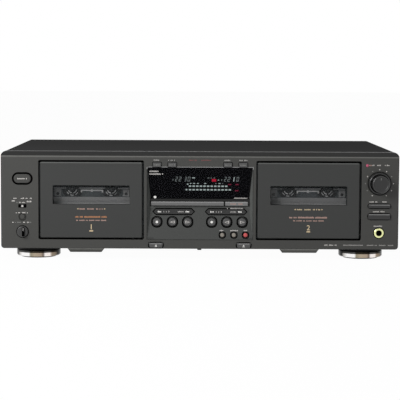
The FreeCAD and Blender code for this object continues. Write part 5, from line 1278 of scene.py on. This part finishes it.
def edge_roll(x, z, radius, front, roll):
    """A thin round roll about a knob's axis, its foremost line at y = front."""
    profile = disc(radius, front + roll, roll, 12)[::-1]
    return ring_turned(profile, (x, z), 96)


KNOB_FACE_RADIUS = 8.45
KNOB_SKIRT_RADIUS = 10.6
KNOB_SKIRT_OUT = 3.9
LEVEL_POINTER = (-0.3, 0.3, 4.6, 7.2)
PITCH_GRIP_SHADE = (-0.4, 2.4, -4.8, 4.8)
PITCH_POINTER = (0.7, 1.3, 1.2, 4.4)


def knob_details():
    """Glossy rolled edges of the level knob and its pointer, and on the small knob a painted shade, black for
    the shaded side of its grip bar.
    """
    knob = "record_level_knob"
    x, z, front = middle_of(knob)
    rolls = [edge_roll(x, z, KNOB_FACE_RADIUS, front + 0.05, 0.55),
             edge_roll(x, z, KNOB_SKIRT_RADIUS, FRONT - KNOB_SKIRT_OUT, 0.6)]
    put_mesh("level_knob_rolls", *gather(rolls), "knob rim plastic", knob, "knob_plastic", True)
    pointer = bar(*LEVEL_POINTER) + (x, z)
    print_on("level_knob_pointer", [pointer], flat_at(front + 0.3), "faint print", knob)
    knob = "pitch_knob"
    x, z, front = middle_of(knob)
    # Painted shade: a black bar for the shaded side of the small knob's grip ridge.
    grip = bar(*PITCH_GRIP_SHADE) + (x, z)
    print_on("pitch_knob_grip_shade", [grip], flat_at(front), "mask black", knob, "knob_plastic")
    pointer = bar(*PITCH_POINTER) + (x, z)
    print_on("pitch_knob_pointer", [pointer], flat_at(front - 0.03), "soft print", knob)


# Small hardware

REAR_SCREW_COLUMNS = (-203.0, -70.0, 70.0, 203.0)
REAR_SCREW_ROWS = (20.0, 108.0)
SOCKET_COLUMNS = (-9.0, 9.0)
SOCKET_ROW = 8.0
COLLARS = (("white", 1, "white print", "pale_key_plastic"), ("red", -1, "red key plastic", "red_key_plastic"))
RIB_LIPS = ((-124.0, 42.0), (108.5, 45.0))
LIP_TAPER = 4.0
LIP_FOOT = 6.7
LIP_HEAD = 11.9
LIP_FRONT = -117.9
LIP_THICK = 1.3
CHASSIS_STOP = (-2.6, 1.8, LIP_FRONT, -116.0, 9.4, LIP_HEAD)
COVER_SCREW_DEPTHS = (-92.0, 104.0)
COVER_SCREW_HEIGHT = 26.0
COVER_SCREW_SINK = 0.35


def screw_head(x, z, y, radius=3.0):
    """A domed pan head that stands on y and faces the rear."""
    profile = [(radius * 0.4, y + 1.35), (radius * 0.82, y + 1.1), (radius, y + 0.5), (radius, y)]
    return turned(profile, (x, z), 24)


def sleeve(place, inner, outer, near, far, steps):
    """A plain tube about an axis along Y, from y = near to y = far."""
    return ring_turned([(outer, far), (outer, near), (inner, near), (inner, far)], place, steps)


def rear_details():
    """Screws of the rear panel, and plated sleeves with coloured collars on the four sockets."""
    heads = [screw_head(x, z, REAR) for x in REAR_SCREW_COLUMNS for z in REAR_SCREW_ROWS]
    put_mesh("rear_screws", *gather(heads), "screw steel", "root", "rear_steel", True)
    tip = corner_mm("phono_sockets")[1][1]
    x, z, _ = middle_of("phono_sockets")
    sleeves = [sleeve((x + dx, z + way * SOCKET_ROW), 1.2, 1.75, tip - 8.0, tip - 0.2, 32)
               for dx in SOCKET_COLUMNS for way in (-1, 1)]
    put_mesh("socket_sleeves", *gather(sleeves), "nickel plate", "root", "plated_brass", True)
    for name, way, finish, slot in COLLARS:
        collars = [sleeve((x + dx, z + way * SOCKET_ROW), 4.2, 6.0, REAR + 1.55, REAR + 2.1, 40)
                   for dx in SOCKET_COLUMNS]
        put_mesh("socket_collars_" + name, *gather(collars), finish, "root", slot, True)


def chassis_lips():
    """The turned-down front lips of the two pressed ribs, and a small stop under the middle."""
    outlines = []
    for x, width in RIB_LIPS:
        left = x - width / 2
        right = x + width / 2
        outlines.append([[left + LIP_TAPER, LIP_FOOT], [right - LIP_TAPER, LIP_FOOT], [right, LIP_HEAD],
                         [left, LIP_HEAD]])
    lips = prisms(outlines, flat_at(LIP_FRONT), flat_at(LIP_FRONT + LIP_THICK))
    put_mesh("chassis_lips", *lips, "zinc sheet", "root", "cover_steel")
    put_mesh("chassis_stop", *boxes([CHASSIS_STOP]), "foot plastic", "root", "holder_plastic")


def side_screws():
    """Two cover screws on each side."""
    low, high = corner_mm("top_cover")
    heads = []
    for way, x in ((-1.0, low[0]), (1.0, high[0])):
        for y in COVER_SCREW_DEPTHS:
            verts, faces = screw_head(0.0, 0.0, -COVER_SCREW_SINK, 3.4)
            right, out, up = verts.T
            placed = np.stack([x + way * out, y - way * right, COVER_SCREW_HEIGHT + up], -1)
            heads.append((placed, faces))
    put_mesh("cover_screws", *gather(heads), "screw steel", "root", "cover_steel", True)


# Camera, floor and light

EYE = Vector((-0.010, -1.731, 0.206))
AIM = Vector((0.0, -0.130, 0.06520))
ROLL = math.radians(0.28)
KEY_PLACE = (-0.90, -1.00, 0.70)
KEY_AIM = (0.0, -0.13, 0.06)
WHITE = (1.0, 1.0, 1.0, 1.0)
FLOOR_HALF = 12.0
FLOOR_WHITE_SHARE = 0.97


def look(place, aim):
    """The placing of a camera or lamp that looks from one point at another."""
    turn = (aim - place).to_track_quat("-Z", "Y").to_matrix().to_4x4()
    return Matrix.Translation(place) @ turn


def build_camera(lens):
    """The camera at the photograph's viewing angle."""
    camera = bpy.data.cameras.new("camera")
    camera.lens = lens
    camera.sensor_width = 36.0
    holder = new_object("camera", camera)
    holder.matrix_world = look(EYE, AIM) @ Matrix.Rotation(ROLL, 4, "Z")
    bpy.context.scene.camera = holder


def build_floor():
    """A wide pale floor under the feet."""
    mesh = bpy.data.meshes.new("floor")
    corners = [(x * FLOOR_HALF, y * FLOOR_HALF, 0.0) for x, y in ((-1, -1), (1, -1), (1, 1), (-1, 1))]
    mesh.from_pydata(corners, [], [(0, 1, 2, 3)])
    new_object("floor", mesh)
    mesh.materials.append(floor_finish())


def build_room(strength):
    """Even light of a white room, which shows pure white to the eye."""
    world = bpy.data.worlds.new("studio")
    world.use_nodes = True
    bpy.context.scene.world = world
    tree = world.node_tree
    background = tree.nodes["Background"]
    blend = tree.nodes.new("ShaderNodeMix")
    set_inputs(blend, A=strength, B=1.0)
    tree.links.new(seen_by_eye(tree), blend.inputs["Factor"])
    tree.links.new(blend.outputs[0], background.inputs["Strength"])
    set_inputs(background, Color=WHITE)


def seen_by_eye(tree):
    """1 where a ray comes from the camera, a mirror or clear glass, and 0 where it only lights."""
    path = tree.nodes.new("ShaderNodeLightPath").outputs
    either = math_node(tree, "MAXIMUM", path["Is Camera Ray"], path["Is Glossy Ray"])
    return math_node(tree, "MAXIMUM", either, path["Is Transmission Ray"])


def floor_finish():
    """A pale floor that shows white to the eye and keeps a soft part of the object's shadow."""
    tree, principled = shader("floor paper")
    set_inputs(principled, Roughness=0.9, Specular_IOR_Level=0.0)
    fibre = noise_node(tree, place_node(tree), 60.0, 4.0)
    tone = blend_node(tree, fibre, (0.88, 0.88, 0.88, 1.0), (0.92, 0.92, 0.92, 1.0))
    tree.links.new(tone, principled.inputs["Base Color"])
    light = tree.nodes.new("ShaderNodeEmission")
    set_inputs(light, Color=WHITE, Strength=1.0)
    blend = tree.nodes.new("ShaderNodeMixShader")
    share = math_node(tree, "MULTIPLY", seen_by_eye(tree), FLOOR_WHITE_SHARE)
    for source, socket in zip((share, principled.outputs[0], light.outputs[0]), blend.inputs):
        tree.links.new(source, socket)
    tree.links.new(blend.outputs[0], tree.nodes["Material Output"].inputs["Surface"])
    return bpy.data.materials["floor paper"]


def add_softbox(name, place, aim, width, height, power):
    """A rectangular soft light that looks at a point and isn't seen itself."""
    lamp = bpy.data.lights.new(name, "AREA")
    lamp.shape = "RECTANGLE"
    lamp.size = width
    lamp.size_y = height
    lamp.energy = power
    holder = new_object(name, lamp)
    holder.matrix_world = look(Vector(place), Vector(aim))
    holder.visible_camera = False


# Operators and panel

class DUPLICATOR_OT_finishes(bpy.types.Operator):
    """Give every node its plastic, metal, paint or glass"""
    bl_idname = "duplicator.finishes"
    bl_label = "Finishes"

    def execute(self, context):
        build_finishes()
        dress_nodes()
        return {"FINISHED"}


class DUPLICATOR_OT_stage(bpy.types.Operator):
    """Set the camera, floor and lights"""
    bl_idname = "duplicator.stage"
    bl_label = "Stage"

    def execute(self, context):
        settings = context.scene.duplicator_stage
        build_camera(settings.camera_lens)
        build_floor()
        build_room(settings.room_light)
        add_softbox("key", KEY_PLACE, KEY_AIM, 0.8, 0.6, settings.key_power)
        context.scene.view_settings.view_transform = "Standard"
        return {"FINISHED"}


class DUPLICATOR_OT_panel_print(bpy.types.Operator):
    """Print the labels and dial dots of the front, and paint shade in the gaps round its keys and a highlight
    along the trough's top edge
    """
    bl_idname = "duplicator.panel_print"
    bl_label = "Panel print"

    def execute(self, context):
        panel_marks()
        console_marks()
        key_shade_and_trough_highlight()
        return {"FINISHED"}


class DUPLICATOR_OT_door_print(bpy.types.Operator):
    """Print the numeral and fine lines on each door"""
    bl_idname = "duplicator.door_print"
    bl_label = "Door print"

    def execute(self, context):
        door_marks()
        return {"FINISHED"}


class DUPLICATOR_OT_display(bpy.types.Operator):
    """Make the display's mask, its lit signs and the print on its window"""
    bl_idname = "duplicator.display"
    bl_label = "Display"

    def execute(self, context):
        display_mask()
        display_signs()
        glass_marks()
        return {"FINISHED"}


class DUPLICATOR_OT_wells(bpy.types.Operator):
    """Make the fittings that show behind the door windows"""
    bl_idname = "duplicator.wells"
    bl_label = "Cassette wells"

    def execute(self, context):
        well_fittings()
        return {"FINISHED"}


class DUPLICATOR_OT_key_signs(bpy.types.Operator):
    """Print the signs and labels on the keys and the pointers on the knobs, with painted highlights on the
    bar and eject keys and painted shade on the small knob's grip
    """
    bl_idname = "duplicator.key_signs"
    bl_label = "Key signs"

    def execute(self, context):
        key_signs()
        key_labels()
        knob_details()
        return {"FINISHED"}


class DUPLICATOR_OT_hardware(bpy.types.Operator):
    """Add screws, socket sleeves and collars"""
    bl_idname = "duplicator.hardware"
    bl_label = "Small hardware"

    def execute(self, context):
        rear_details()
        side_screws()
        chassis_lips()
        return {"FINISHED"}


class DUPLICATOR_PT_sidebar(bpy.types.Panel):
    """Sizes, colours and steps of the cassette duplicator"""
    bl_label = "Cassette Duplicator"
    bl_idname = "DUPLICATOR_PT_sidebar"
    bl_space_type = "VIEW_3D"
    bl_region_type = "UI"
    bl_category = "Cassette Duplicator"

    def draw(self, context):
        for step in OPERATORS:
            self.layout.operator(step.bl_idname)
        scene = context.scene
        for group in (scene.duplicator_finish, scene.duplicator_marks, scene.duplicator_stage):
            box = self.layout.box()
            for name in group.__annotations__:
                box.prop(group, name)


SETTINGS = (FinishSettings, StageSettings, MarkSettings)
OPERATORS = (
    DUPLICATOR_OT_finishes, DUPLICATOR_OT_stage, DUPLICATOR_OT_panel_print, DUPLICATOR_OT_door_print,
    DUPLICATOR_OT_display, DUPLICATOR_OT_wells, DUPLICATOR_OT_key_signs, DUPLICATOR_OT_hardware,
)
CLASSES = SETTINGS + OPERATORS + (DUPLICATOR_PT_sidebar,)


def register():
    for each in CLASSES:
        bpy.utils.register_class(each)
    bpy.types.Scene.duplicator_finish = bpy.props.PointerProperty(type=FinishSettings)
    bpy.types.Scene.duplicator_stage = bpy.props.PointerProperty(type=StageSettings)
    bpy.types.Scene.duplicator_marks = bpy.props.PointerProperty(type=MarkSettings)


def unregister():
    del bpy.types.Scene.duplicator_marks
    del bpy.types.Scene.duplicator_stage
    del bpy.types.Scene.duplicator_finish
    for each in reversed(CLASSES):
        bpy.utils.unregister_class(each)


def main():
    register()
    bpy.ops.duplicator.finishes()
    bpy.ops.duplicator.stage()
    bpy.ops.duplicator.panel_print()
    bpy.ops.duplicator.door_print()
    bpy.ops.duplicator.display()
    bpy.ops.duplicator.wells()
    bpy.ops.duplicator.key_signs()
    bpy.ops.duplicator.hardware()


if __name__ == "__main__":
    main()
